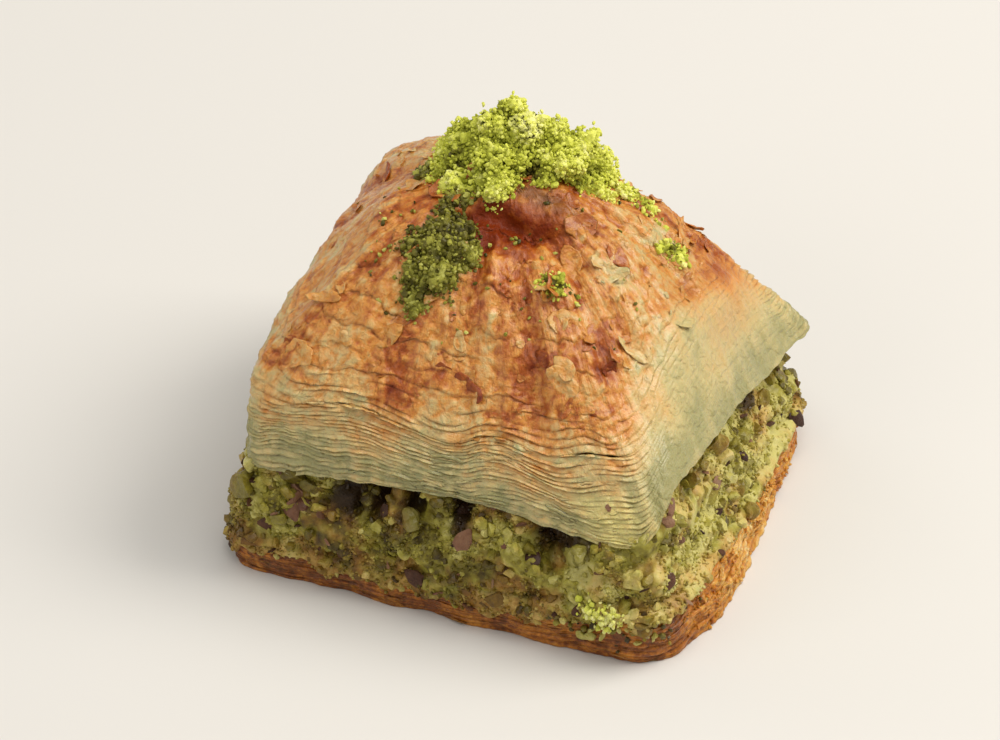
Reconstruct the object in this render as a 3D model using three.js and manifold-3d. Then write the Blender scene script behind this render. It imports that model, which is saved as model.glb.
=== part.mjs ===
// One square-cut piece of pistachio baklava, in millimetres, +Z up, standing on Z = 0.
// From the plate upwards: a thin stack of syrup-soaked pastry sheets, a thick layer of coarse
// ground pistachio, a puffed stack of crisp pastry sheets whose cut edges show as fine steps,
// and a loose heap of fine pistachio crumbs on its crown.
// The front cut faces -Y and the right-hand cut faces +X.
import * as THREE from "three";
import { mergeVertices } from "three/addons/utils/BufferGeometryUtils.js";
import Module from "manifold-3d";

const wasm = await Module();
wasm.setup();

// ---------------------------------------------------------------- driving dimensions
const WIDTH = 52; // along X, at the foot of the front cut
const DEPTH = 48; // along Y
const BASE_THICK = 4.9; // the lower stack of sheets, in its middle
const FILLING_TOP = 14.6; // where the upper stack lies on the pistachio
const CROWN_HEIGHT = 42; // top of the puffed stack, under the crumbs
const HEAP_HEIGHT = 7.4; // of the crumb heap above the crown
const GAP = 0.3; // left between solids that touch

const HALF_X = WIDTH / 2;
const HALF_Y = DEPTH / 2;

// ---------------------------------------------------------------- shapes shared by the layers

// Mulberry32: a small seeded random generator, from 0 to 1.
function seeded(seed) {
  let state = seed >>> 0;
  return () => {
    state = (state + 0x6d2b79f5) >>> 0;
    let t = Math.imul(state ^ (state >>> 15), 1 | state);
    t = (t + Math.imul(t ^ (t >>> 7), 61 | t)) ^ t;
    return ((t ^ (t >>> 14)) >>> 0) / 4294967296;
  };
}

const lerp = (a, b, t) => a + (b - a) * t;
const smooth = (t) => t * t * (3 - 2 * t);

// A slow wave round the piece. The rim parameter p runs from 0 to 4: the front is 0 to 1,
// the right side 1 to 2, the back 2 to 3 and the left side 3 to 4. It closes on itself.
function wave(p, seed) {
  const a = (Math.PI / 2) * p;
  const slow = Math.sin(3 * a + 1.7 * seed) + 0.7 * Math.sin(5 * a + 2.9 * seed + 1);
  const fast = 0.5 * Math.sin(11 * a + 4.1 * seed) + 0.35 * Math.sin(17 * a + 0.6 * seed);
  return (slow + fast) / 2.55;
}

// The point at p on the rim of a square from -1 to 1, its corners rounded by the power.
function squareRim(p, power) {
  const side = Math.floor(p) % 4;
  const along = 2 * (p - Math.floor(p)) - 1;
  const x = [along, 1, -along, -1][side];
  const y = [-1, along, 1, -along][side];
  const size = (Math.abs(x) ** power + Math.abs(y) ** power) ** (1 / power);
  return [x / size, y / size];
}

// Carries a point of that square into the four-cornered plan: [front left, front right,
// back right, back left], each [x, y] in shares of the half sizes.
function inPlan([x, y], corners) {
  const u = (x + 1) / 2;
  const v = (y + 1) / 2;
  const at = (k) =>
    lerp(lerp(corners[0][k], corners[1][k], u), lerp(corners[3][k], corners[2][k], u), v);
  return [at(0) * HALF_X, at(1) * HALF_Y];
}

// Reads a list of [p, value] stops round the rim, easing from each to the next.
function roundTheRim(stops, p) {
  const k = stops.findLastIndex((stop) => stop[0] <= p);
  const [from, start] = stops[k];
  const [to, end] = stops[k + 1] ?? [4, stops[0][1]];
  return lerp(start, end, smooth((p - from) / (to - from)));
}

// A closed solid from a pile of rings, each a list of [x, y, z] running anticlockwise from
// above, with a single point below the first ring and above the last.
function solidOfRings(foot, rings, top) {
  const count = rings[0].length;
  const points = [foot, ...rings.flat(), top];
  const last = points.length - 1;
  const at = (ring, i) => 1 + ring * count + (i % count);
  const faces = [];
  for (let i = 0; i < count; i++) {
    faces.push(0, at(0, i + 1), at(0, i));
    for (let ring = 0; ring + 1 < rings.length; ring++) {
      faces.push(at(ring, i), at(ring, i + 1), at(ring + 1, i + 1));
      faces.push(at(ring, i), at(ring + 1, i + 1), at(ring + 1, i));
    }
    faces.push(at(rings.length - 1, i), at(rings.length - 1, i + 1), last);
  }
  return new wasm.Manifold(
    new wasm.Mesh({
      numProp: 3,
      vertProperties: new Float32Array(points.flat()),
      triVerts: new Uint32Array(faces),
    }),
  );
}

function ringOf(count, pointAt) {
  return Array.from({ length: count }, (_, i) => pointAt((4 * i) / count));
}

// A three.js geometry as a manifold solid.
function solidOf(geometry) {
  const bare = geometry.clone();
  bare.deleteAttribute("normal");
  bare.deleteAttribute("uv");
  const merged = mergeVertices(bare, 1e-4);
  return new wasm.Manifold(
    new wasm.Mesh({
      numProp: 3,
      vertProperties: merged.attributes.position.array,
      triVerts: new Uint32Array(merged.index.array),
    }),
  );
}

// A chopped piece of nut: a twenty-sided stone, pulled out of round and turned at random.
function nutChip(random, size, [x, y, z]) {
  const chip = new THREE.IcosahedronGeometry(size / 2, 0);
  chip.scale(lerp(0.8, 1.35, random()), lerp(0.75, 1.1, random()), lerp(0.65, 0.95, random()));
  chip.rotateX(Math.PI * random());
  chip.rotateZ(2 * Math.PI * random());
  chip.translate(x, y, z);
  return solidOf(chip);
}

// The largest body of a solid, so that a boolean leaves no loose scrap.
function mainBody(solid) {
  return solid.decompose().sort((a, b) => b.volume() - a.volume())[0];
}

function fuse(core, pieces) {
  return wasm.Manifold.union([core, ...pieces]);
}

function meshOf(name, solid, color, roughness) {
  const { vertProperties, triVerts } = solid.getMesh();
  const geometry = new THREE.BufferGeometry();
  geometry.setAttribute("position", new THREE.BufferAttribute(vertProperties, 3));
  geometry.setIndex(new THREE.BufferAttribute(triVerts, 1));
  geometry.computeVertexNormals();
  const material = new THREE.MeshStandardMaterial({ color, roughness, metalness: 0 });
  const mesh = new THREE.Mesh(geometry, material);
  mesh.name = name;
  return mesh;
}

// ---------------------------------------------------------------- lower stack of sheets
// Soft with syrup, it spreads a little at the right-hand cut and stands thickest at the front
// right corner, and four steps of its sheets show.
const BASE_CORNERS = [[-1.03, -1.01], [1.02, -0.97], [1.01, 0.97], [-0.97, 0.98]];
const BASE_TOP = [[0, 4], [0.45, 4.6], [1, 7.2], [1.6, 5.8], [2, 5.2], [3, 4.4]]; // [p, mm] stops
const BASE_SPREAD = 2.6; // furthest that the right side bulges out at the plate
const BASE_STEPS = 4;
const TOP_SHARES = [0.86, 0.5]; // where the faces between layers have rings, 1 at the rim
const BASE_POINTS = 64;

const baseSpread = (p) =>
  p > 1 && p < 2 ? BASE_SPREAD * Math.sin(Math.PI * (p - 1) ** 0.8) : 0;

// The height of the base's top at a share of the way out to its rim at p.
const baseTop = (p, share) =>
  lerp(BASE_THICK, roundTheRim(BASE_TOP, p), smooth(2 * share - 1));

// The base, or with grow the same made larger by that much, to cut its neighbour.
function basePastry(grow) {
  const rings = [];
  const ring = (up, out, seed) =>
    ringOf(BASE_POINTS, (p) => {
      const [x, y] = inPlan(squareRim(p, 14), BASE_CORNERS);
      const pull = 1 + (out + grow + 0.22 * wave(p, seed)) / HALF_X;
      const spread = baseSpread(p) * (1 - 0.75 * up);
      return [x * pull + spread, y * pull, lerp(-grow, baseTop(p, 1) + grow, up)];
    });
  rings.push(ring(0, -0.9, 1));
  for (let step = 0; step < BASE_STEPS; step++) {
    rings.push(ring((step + 0.3) / BASE_STEPS, 0.15 - 0.1 * step, step + 2));
    rings.push(ring((step + 1) / BASE_STEPS, -0.45 - 0.1 * step, step + 2));
  }
  const topRing = rings.at(-1);
  for (const share of TOP_SHARES) {
    rings.push(topRing.map(([x, y], i) => {
      const height = baseTop((4 * i) / BASE_POINTS, share) + grow;
      return [x * share, y * share, height];
    }));
  }
  return solidOfRings([0, 0, -grow], rings, [0, 0, BASE_THICK + grow]);
}

// ---------------------------------------------------------------- upper stack of sheets
// Its lowest sheet lies on the pistachio. The cut edges rise in steps to a shoulder, and
// the crust above them puffs into a rounded crown, highest behind and left of the middle.
const EDGE_CORNERS = [[-0.945, -0.995], [0.945, -0.87], [1.01, 0.92], [-0.9, 0.94]];
const SHOULDER_CORNERS = [[-1, -0.88], [0.77, -0.7], [0.8, 0.78], [-0.93, 0.92]];
// How far the lowest sheet curls up off the pistachio, as [p, mm] stops.
const EDGE_LIFT = [
  [0, 0.2], [0.55, 2.3], [0.94, 0.2], [1.14, 5.2], [1.5, 4.2], [1.8, 1.4], [2, 0.3], [2.5, 1.2],
  [3, 0.4], [3.5, 1.4],
];
const SHOULDER_HEIGHT = [[0, 25.5], [1, 24.5], [1.5, 29.2], [2, 26.4], [2.5, 31], [3, 29], [3.5, 30]];
const CROWN_ROUND = [[0, 2.2], [1, 1.8], [2, 1.9], [2.5, 2.4], [3, 2.5], [3.5, 2.6]]; // fuller as it grows
const CROWN = [-4.3, 6.8]; // plan position of the highest point
const STACK_STEPS = 8;
const STACK_POINTS = 68;
const CRUST_RINGS = 9;
const STEP_OUT = 0.42; // how far a sheet's edge stands out of the one above

const edgeHeight = (p) => FILLING_TOP + GAP + roundTheRim(EDGE_LIFT, p);

// A point on the cut side: up is 0 at the lowest sheet's edge and 1 at the shoulder.
function cutSide(p, up, out) {
  const [ex, ey] = inPlan(squareRim(p, 18), EDGE_CORNERS);
  const [sx, sy] = inPlan(squareRim(p, 8), SHOULDER_CORNERS);
  const lean = up ** 1.35;
  const x = lerp(ex, sx, lean);
  const y = lerp(ey, sy, lean);
  const pull = 1 + out / Math.hypot(x, y);
  const height = lerp(edgeHeight(p), roundTheRim(SHOULDER_HEIGHT, p), up);
  return [x * pull, y * pull, height];
}

// A point on the crust: in is 0 at the shoulder and 1 at the crown.
function crust(p, inward) {
  const [sx, sy, shoulder] = cutSide(p, 1, 0);
  const [rx, ry] = inPlan(squareRim(p, lerp(8, 2.4, inward)), SHOULDER_CORNERS);
  const out = 1 - inward;
  const x = lerp(CROWN[0], lerp(sx, rx, Math.min(1, 2 * inward)), out);
  const y = lerp(CROWN[1], lerp(sy, ry, Math.min(1, 2 * inward)), out);
  const rise = (CROWN_HEIGHT - shoulder) * (1 - out ** roundTheRim(CROWN_ROUND, p));
  return [x, y, shoulder + rise + crustWrinkle(x, y) * Math.min(1, 5 * out * inward)];
}

// Broad buckles of the crust, finer ones that run down its front, and the fold across it in
// front of the crown.
const FOLD_DEPTH = 1.8;
const FOLD_WIDTH = 1.9;
const FOLD_MIDDLE = [1, -0.9];

function crustWrinkle(x, y) {
  const buckle = 0.5 * Math.sin(0.33 * x + 0.2 * y + 1) * Math.sin(0.27 * y - 0.14 * x);
  const furrow = 0.3 * Math.sin(1.15 * x - 0.3 * y);
  const across = (y - FOLD_MIDDLE[1] - 0.12 * (x - FOLD_MIDDLE[0])) / FOLD_WIDTH;
  const along = (x - FOLD_MIDDLE[0]) / 9;
  return buckle + furrow - FOLD_DEPTH * Math.exp(-(across ** 2) - along ** 2);
}

// The stack, or with grow the same stack made larger by that much, to cut its neighbours.
function pastryStack(grow) {
  const rings = [];
  const under = (share) =>
    ringOf(STACK_POINTS, (p) => {
      const [x, y, z] = cutSide(p, 0, grow);
      const level = FILLING_TOP + GAP;
      return [x * share, y * share, lerp(level, z, smooth(2 * share - 1)) - grow];
    });
  rings.push(...TOP_SHARES.toReversed().map(under));
  for (let step = 0; step < STACK_STEPS; step++) {
    const outer = (p) => grow + STEP_OUT * (0.55 + 0.45 * wave(p, step + 3));
    rings.push(ringOf(STACK_POINTS, (p) => {
      const [x, y, z] = cutSide(p, (step + (step ? 0.1 : 0)) / STACK_STEPS, outer(p));
      return [x, y, z - (step ? 0 : grow)];
    }));
    rings.push(ringOf(STACK_POINTS, (p) => cutSide(p, (step + 0.72) / STACK_STEPS, outer(p) - STEP_OUT)));
  }
  for (let ring = 0; ring < CRUST_RINGS; ring++) {
    rings.push(ringOf(STACK_POINTS, (p) => {
      const [x, y, z] = crust(p, ring / CRUST_RINGS);
      return [x, y, z + grow];
    }));
  }
  const foot = [0, 0, FILLING_TOP + GAP - grow];
  return solidOfRings(foot, rings, [CROWN[0], CROWN[1], CROWN_HEIGHT + grow]);
}

// ---------------------------------------------------------------- pistachio layer
// Coarse ground nuts pressed between the two stacks. It swells past them, and nut pieces
// stand out of it all round.
const FILLING_CORNERS = [[-1.04, -1.04], [0.985, -0.965], [1.0, 0.96], [-0.96, 0.97]];
const FILLING_POINTS = 64;
const FILLING_RINGS = 4;
const NUT_PIECES = 54;
const NUT_SIZE = [2.2, 4.4];
const BITE = 0.4; // how far the layer is drawn into its neighbours before they cut it back

// A point on the pistachio's face, up from 0 at its foot to 1 under the upper stack.
function fillingSide(p, up, out) {
  const [x, y] = inPlan(squareRim(p, 14), FILLING_CORNERS);
  const swell = 0.9 * Math.sin(Math.PI * Math.min(1, 0.18 + 0.8 * up)) - 1.5 * up;
  const lumps = 0.5 * wave(p, 9 + 5 * up) + 0.35 * Math.sin(23 * p + 9 * up);
  const pull = 1 + (swell + lumps + out) / Math.hypot(x, y);
  return [x * pull, y * pull, lerp(baseTop(p, 1) + GAP, edgeHeight(p) - GAP, up)];
}

function pistachioFilling() {
  // The underside follows the top of the base, and the top the underside of the upper stack.
  const rings = [];
  for (const share of TOP_SHARES.toReversed()) {
    rings.push(ringOf(FILLING_POINTS, (p) => {
      const [x, y] = fillingSide(p, 0, -0.4);
      return [x * share, y * share, baseTop(p, share) - BITE];
    }));
  }
  for (let k = 0; k < FILLING_RINGS; k++) {
    const up = k / (FILLING_RINGS - 1);
    rings.push(ringOf(FILLING_POINTS, (p) => fillingSide(p, up, k === 0 ? -0.4 : 0)));
  }
  for (const share of TOP_SHARES) {
    rings.push(ringOf(FILLING_POINTS, (p) => {
      const [x, y, z] = fillingSide(p, 1, 0);
      return [x * share, y * share, BITE + lerp(FILLING_TOP, z, smooth(2 * share - 1))];
    }));
  }
  const core = solidOfRings([0, 0, BASE_THICK - BITE], rings, [0, 0, FILLING_TOP + BITE]);
  const random = seeded(7);
  const pieces = [];
  for (let k = 0; k < NUT_PIECES; k++) {
    const p = (4 * (k + 0.8 * random())) / NUT_PIECES;
    const size = lerp(NUT_SIZE[0], NUT_SIZE[1], random() ** 1.6);
    const up = lerp(0.16, 0.9, random());
    pieces.push(nutChip(random, size, fillingSide(p % 4, up, -0.18 * size)));
  }
  return mainBody(fuse(core, pieces).subtract(pastryStack(GAP)).subtract(basePastry(GAP)));
}

// ---------------------------------------------------------------- crumbs on the crust
// Fine ground pistachio: a loose heap on the crown, and stray clumps stuck to the crust.
const HEAP_CENTRE = [-4.4, 8.8];
const HEAP_RADIUS = [9.6, 6.2]; // along the heap's two plan axes
const HEAP_TURN = 0.42; // its long axis, turned from +X
const HEAP_POINTS = 24;
const HEAP_RINGS = 4;
const HEAP_CRUMBS = 38;
const CRUMB_SIZE = [1.6, 3];

// The crust's height over a plan point, found by walking from the crown to the shoulder.
function crustHeight(x, y) {
  const turn = Math.atan2(y - CROWN[1], x - CROWN[0]);
  const angleAt = (p) => {
    const [sx, sy] = crust(p, 0);
    return Math.atan2(sy - CROWN[1], sx - CROWN[0]);
  };
  const away = (p) => Math.abs(Math.atan2(Math.sin(angleAt(p) - turn), Math.cos(angleAt(p) - turn)));
  const tries = Array.from({ length: 400 }, (_, i) => i / 100);
  const p = tries.reduce((best, next) => (away(next) < away(best) ? next : best));
  const reach = (inward) => {
    const [cx, cy] = crust(p, inward);
    return Math.hypot(cx - CROWN[0], cy - CROWN[1]);
  };
  const wanted = Math.hypot(x - CROWN[0], y - CROWN[1]);
  let [near, far] = [0, 1];
  for (let k = 0; k < 24; k++) {
    const middle = (near + far) / 2;
    if (reach(middle) > wanted) near = middle;
    else far = middle;
  }
  return crust(p, near)[2];
}

// A plan point of the heap: share is 0 in its middle and 1 at its foot.
function heapPlan(turn, share) {
  const ragged = share * (1 + 0.16 * Math.sin(3 * turn + 0.6) + 0.1 * Math.sin(7 * turn + 2));
  const a = HEAP_RADIUS[0] * ragged * Math.cos(turn);
  const b = HEAP_RADIUS[1] * ragged * Math.sin(turn);
  const [c, s] = [Math.cos(HEAP_TURN), Math.sin(HEAP_TURN)];
  return [HEAP_CENTRE[0] + a * c - b * s, HEAP_CENTRE[1] + a * s + b * c];
}

function heapSurface(turn, share) {
  const [x, y] = heapPlan(turn, share);
  const lumps = 0.8 * Math.sin(5 * turn + 7 * share) * Math.sin(Math.PI * share);
  return [x, y, crustHeight(x, y) + (HEAP_HEIGHT - 1.2) * (1 - share ** 2.3) + lumps];
}

function crumbHeap() {
  const rings = [];
  const turnOf = (i) => (2 * Math.PI * i) / HEAP_POINTS;
  const ring = (pointAt) => Array.from({ length: HEAP_POINTS }, (_, i) => pointAt(turnOf(i)));
  const sunk = CROWN_HEIGHT - 12;
  rings.push(ring((turn) => [...heapPlan(turn, 0.96), sunk]));
  for (let k = 0; k < HEAP_RINGS; k++) {
    rings.push(ring((turn) => heapSurface(turn, 1 - k / HEAP_RINGS)));
  }
  const core = solidOfRings([...HEAP_CENTRE, sunk], rings, heapSurface(0, 0));
  const random = seeded(31);
  const crumbs = [];
  for (let k = 0; k < HEAP_CRUMBS; k++) {
    const share = Math.sqrt((k + 0.5) / HEAP_CRUMBS);
    const turn = 2.399963 * k + 0.5 * random(); // the golden angle spreads them evenly
    const [x, y, z] = heapSurface(turn, share);
    crumbs.push(nutChip(random, lerp(CRUMB_SIZE[0], CRUMB_SIZE[1], random()), [x, y, z - 0.1]));
  }
  return mainBody(fuse(core, crumbs).subtract(pastryStack(GAP)));
}

// Stray clumps, each [x, y, radius of the clump, crumbs in it].
const STRAY_CLUMPS = [[-9.5, -5.4, 3, 9], [1.5, -11.5, 1.6, 4], [12.6, 1.6, 1.4, 3], [12, 11.5, 1.8, 4]];
// Flakes of the top sheet that lift at a torn edge, each [x, y, half length, half width, turn].
const FLAKES = [
  [-4.5, -11.8, 3.4, 2.2, 0.3], [8.5, -6.5, 4.2, 1.9, 1.2], [-16.5, -9.5, 3.8, 2.4, 1.9],
  [12.5, -12.5, 2.8, 1.8, 0.7], [-18, 11, 3.4, 2.3, 1.7], [14.5, 7, 3.2, 1.9, 1.6],
];
const FLAKE_POINTS = 11;
const FLAKE_THICK = 0.55;

function crustFlake([cx, cy, long, wide, turn]) {
  const ring = (share, above) =>
    Array.from({ length: FLAKE_POINTS }, (_, i) => {
      const angle = (2 * Math.PI * i) / FLAKE_POINTS;
      const ragged = share * (1 + 0.18 * Math.sin(3 * angle + cx) + 0.1 * Math.sin(5 * angle));
      const [a, b] = [long * ragged * Math.cos(angle), wide * ragged * Math.sin(angle)];
      const x = cx + a * Math.cos(turn) - b * Math.sin(turn);
      const y = cy + a * Math.sin(turn) + b * Math.cos(turn);
      return [x, y, crustHeight(x, y) + above];
    });
  const height = crustHeight(cx, cy);
  return solidOfRings(
    [cx, cy, height - 2],
    [ring(0.9, -1.2), ring(1, 0.1), ring(0.93, FLAKE_THICK)],
    [cx, cy, height + FLAKE_THICK],
  );
}

function upperPastry() {
  const random = seeded(53);
  const crumbs = STRAY_CLUMPS.flatMap(([cx, cy, radius, count]) =>
    Array.from({ length: count }, (_, k) => {
      const away = radius * Math.sqrt((k + 0.5) / count);
      const [x, y] = [cx + away * Math.cos(2.4 * k), cy + away * Math.sin(2.4 * k)];
      const size = lerp(1.2, 2.2, random());
      return nutChip(random, size, [x, y, crustHeight(x, y) + 0.15 * size]);
    }),
  );
  return mainBody(fuse(pastryStack(0), [...FLAKES.map(crustFlake), ...crumbs]));
}

// ---------------------------------------------------------------- the piece
const baklava = new THREE.Group();
const base = basePastry(0);
const stack = upperPastry();
const heap = crumbHeap();
baklava.add(meshOf("base_pastry", base, 0xc08a3e, 0.4));
baklava.add(meshOf("pistachio_filling", pistachioFilling(), 0x8a8a3a, 0.6));
baklava.add(meshOf("top_pastry", stack, 0xd3893f, 0.35));
baklava.add(meshOf("pistachio_crumbs", heap, 0x9fae2c, 0.8));

// The origin is under the middle of the whole piece's box.
const box = new THREE.Box3().setFromObject(baklava);
baklava.position.set(-(box.min.x + box.max.x) / 2, -(box.min.y + box.max.y) / 2, -box.min.z);

export default baklava;
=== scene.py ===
# One square-cut piece of pistachio baklava, dressed over its solids.
# From the plate upwards: soaked sheets, ground pistachio, the crisp stack with its browned
# crust, and a heap of crumbs. Shapes are worked out in millimetres and moved into the frame.
import math

import bmesh
import bpy
import numpy as np
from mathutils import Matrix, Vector, noise
from mathutils.bvhtree import BVHTree


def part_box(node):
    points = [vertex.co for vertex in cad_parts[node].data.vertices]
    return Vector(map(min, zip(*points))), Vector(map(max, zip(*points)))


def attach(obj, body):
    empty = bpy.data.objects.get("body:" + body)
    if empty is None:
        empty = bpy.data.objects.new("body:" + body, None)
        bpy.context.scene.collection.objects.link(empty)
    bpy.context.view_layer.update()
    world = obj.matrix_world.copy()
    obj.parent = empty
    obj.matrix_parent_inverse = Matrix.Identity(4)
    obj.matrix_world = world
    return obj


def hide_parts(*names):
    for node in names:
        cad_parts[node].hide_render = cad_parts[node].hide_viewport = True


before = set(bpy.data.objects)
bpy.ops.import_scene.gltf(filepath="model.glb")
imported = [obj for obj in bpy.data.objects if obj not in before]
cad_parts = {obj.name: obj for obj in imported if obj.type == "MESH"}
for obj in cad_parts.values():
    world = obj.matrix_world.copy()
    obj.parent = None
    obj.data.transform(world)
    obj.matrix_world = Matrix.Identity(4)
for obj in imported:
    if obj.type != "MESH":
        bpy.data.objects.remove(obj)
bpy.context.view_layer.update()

scene = bpy.context.scene

# ---------------------------------------------------------------- camera
# A long lens well back from the piece, looking down on its front right corner.
AZIMUTH, ELEVATION = 21.8, 41  # degrees, from the front towards the right and from level up
DISTANCE = 1.632
LENS, SENSOR = 516, 36  # mm
AIM = (-0.0030, 0.0010, 0.0168)  # the middle of what shows


def aim_from(item, azimuth, elevation, distance):
    """Adds a camera or lamp so far from the piece, turned to it, with its angles in degrees."""
    a, e = math.radians(azimuth), math.radians(elevation)
    towards = Vector((math.sin(a) * math.cos(e), -math.cos(a) * math.cos(e), math.sin(e)))
    item.location = Vector(AIM) + distance * towards
    item.rotation_euler = towards.to_track_quat("Z", "Y").to_euler()
    scene.collection.objects.link(item)


camera = bpy.data.objects.new("camera", bpy.data.cameras.new("camera"))
camera.data.lens = LENS
camera.data.sensor_width = SENSOR
camera.data.clip_end = 20
aim_from(camera, AZIMUTH, ELEVATION, DISTANCE)
scene.camera = camera

# ---------------------------------------------------------------- floor and lights
# A pale matt table and soft studio light: a large key from the right and behind, a broad light
# from above, weak fills from the front left and the left, and a pale sky all round.
FLOOR_HALF = 1.5
FLOOR_COLOR = (0.70, 0.68, 0.64, 1)
SKY_COLOR = (1.0, 0.98, 0.95, 1)
SKY_STRENGTH = 0.34
# name, azimuth, elevation, distance, side, watts, colour
LIGHTS = [
    ("key", 118, 48, 0.75, 0.42, 4.4, (1.0, 0.96, 0.90)),
    ("top", 60, 80, 0.8, 0.5, 2.45, (1.0, 0.98, 0.95)),
    ("fill", -35, 30, 0.9, 0.6, 1.25, (1.0, 0.98, 0.96)),
    ("side", -105, 25, 0.9, 0.5, 0.8, (1.0, 0.96, 0.92)),
]

scene.view_settings.view_transform = "Standard"


def new_material(name, inputs):
    """A material, its node tree and its Principled shader, with these inputs set."""
    material = bpy.data.materials.new(name)
    material.use_nodes = True
    shader = material.node_tree.nodes["Principled BSDF"]
    for key, value in inputs.items():
        shader.inputs[key].default_value = value
    return material, material.node_tree, shader


def add_node(tree, kind, inputs=None, **settings):
    """A node with its settings, and its inputs set or linked by name or number."""
    node = tree.nodes.new(kind)
    for key, value in settings.items():
        setattr(node, key, value)
    for key, value in (inputs or {}).items():
        if isinstance(value, bpy.types.NodeSocket):
            tree.links.new(value, node.inputs[key])
        else:
            node.inputs[key].default_value = value
    return node


floor_mesh = bpy.data.meshes.new("floor")
corners = [(x * FLOOR_HALF, y * FLOOR_HALF, 0) for x, y in ((-1, -1), (1, -1), (1, 1), (-1, 1))]
floor_mesh.from_pydata(corners, [], [(0, 1, 2, 3)])
floor_mesh.materials.append(new_material("pale_table", {"Base Color": FLOOR_COLOR, "Roughness": 0.7})[0])
floor = bpy.data.objects.new("floor", floor_mesh)
scene.collection.objects.link(floor)

for name, azimuth, elevation, distance, side, watts, color in LIGHTS:
    light = bpy.data.lights.new(name, "AREA")
    light.size = side
    light.energy = watts
    light.color = color
    aim_from(bpy.data.objects.new(name, light), azimuth, elevation, distance)

scene.world = bpy.data.worlds.new("sky")
scene.world.use_nodes = True
sky = scene.world.node_tree.nodes["Background"]
sky.inputs["Color"].default_value = SKY_COLOR
sky.inputs["Strength"].default_value = SKY_STRENGTH

# ---------------------------------------------------------------- base pastry
# The lower stack of filo, soft with butter and syrup: its thin sheets are pressed into one
# glazed slab, which stands thickest at the front right corner and spreads at its right side.
HALF_X, HALF_Y = 26, 24  # half the width and depth of the foot, in mm
SQUARENESS = 14  # the power that rounds the corners of the lower layers
BASE_THICK = 4.9
BASE_CORNERS = [(-1.03, -1.01), (1.02, -0.97), (1.01, 0.97), (-0.97, 0.98)]
BASE_TOP = [(0, 4), (0.45, 4.6), (1, 7.2), (1.6, 5.8), (2, 5.2), (3, 4.4)]
BASE_SPREAD = 2.6
FOOT_SWELL = (0.9, 1.27, 0.14)  # mm out, its middle and half width round the rim
BASE_SHEETS = 12
BASE_POINTS = 820
# A sheet's edge is a rounded lip between two grooves: share of its height, mm out.
SHEET_LIP = [(0.04, -0.22), (0.2, 0.06), (0.55, 0.03), (0.9, -0.08)]


def lerp(a, b, t):
    return a + (b - a) * t


def smooth(t):
    t = np.clip(t, 0, 1)
    return t * t * (3 - 2 * t)


def bell(value, middle, width):
    """A soft hump, 1 where the value is at its middle."""
    return np.exp(-(((value - middle) / width) ** 2))


def near(p, middle, reach, soft):
    """0 further from the middle than its reach, and rising inwards over a soft stretch."""
    return smooth((reach - np.abs(p - middle)) / soft)


def off_corners(p):
    """0 at the corners and 1 along the sides, where sheets can fray."""
    return smooth((np.abs((p + 0.5) % 1 - 0.5) - 0.05) / 0.06)


def rim_steps(count):
    """Even steps round the rim. p runs from 0 to 4: front, right, back, left."""
    return 4 * np.arange(count) / count


def wave(p, seed):
    """A slow wave round the piece."""
    a = math.pi / 2 * p
    slow = np.sin(3 * a + 1.7 * seed) + 0.7 * np.sin(5 * a + 2.9 * seed + 1)
    fast = 0.5 * np.sin(11 * a + 4.1 * seed) + 0.35 * np.sin(17 * a + 0.6 * seed)
    return (slow + fast) / 2.55


def in_plan(p, power, corners):
    """The point at p on a square's rim, rounded by the power, in the four-cornered plan."""
    side = np.floor(p).astype(int) % 4
    along = 2 * (p - np.floor(p)) - 1
    x = np.choose(side, [along, np.ones_like(p), -along, -np.ones_like(p)])
    y = np.choose(side, [-np.ones_like(p), along, np.ones_like(p), -along])
    size = (np.abs(x) ** power + np.abs(y) ** power) ** (1 / power)
    u, v = (x / size + 1) / 2, (y / size + 1) / 2
    front_left, front_right, back_right, back_left = corners
    return [
        half * lerp(
            lerp(front_left[k], front_right[k], u), lerp(back_left[k], back_right[k], u), v
        )
        for k, half in enumerate((HALF_X, HALF_Y))
    ]


def round_the_rim(stops, p):
    """Reads a list of (p, value) stops round the rim, easing from each to the next."""
    at, value = zip(*stops, (4, stops[0][1]))
    k = np.clip(np.searchsorted(at, p, side="right") - 1, 0, len(at) - 2)
    at, value = np.array(at, float), np.array(value, float)
    return lerp(value[k], value[k + 1], smooth((p - at[k]) / (at[k + 1] - at[k])))


def base_spread(p):
    return np.where((p > 1) & (p < 2), BASE_SPREAD * np.sin(math.pi * np.clip(p - 1, 0, 1) ** 0.8), 0)


def base_top(p, share):
    return lerp(BASE_THICK, round_the_rim(BASE_TOP, p), smooth(2 * share - 1))


def base_side(p, up, out):
    """A point on the base's side, up from 0 at the plate to 1 at its top, out in mm."""
    x, y = in_plan(p, SQUARENESS, BASE_CORNERS)
    pull = 1 + out / HALF_X
    return np.stack([
        x * pull + base_spread(p) * (1 - 0.75 * up),
        y * pull,
        base_top(p, 1) * up + 0 * p,
    ], axis=-1)


# The solid's outermost ring, low on the first of its 4 steps, gives its box in the maker's own
# millimetres, and so the shift from there to the frame.
solid_p = rim_steps(64)
solid_ring = base_side(solid_p, 0.3 / 4, 0.15 + 0.22 * wave(solid_p, 2))
SHIFT = 1000 * np.array(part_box("base_pastry")[0]) - solid_ring.min(axis=0)
SHIFT[2] = 0


def grain(points, size, seed=0):
    """Smooth noise from about -1 to 1 at points in mm, its lumps about size mm across."""
    spots = np.asarray(points) / size + 31.7 * seed
    shape = spots.shape[:-1]
    return np.array([noise.noise(s) for s in spots.reshape(-1, 3).tolist()]).reshape(shape) * 1.6


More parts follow.
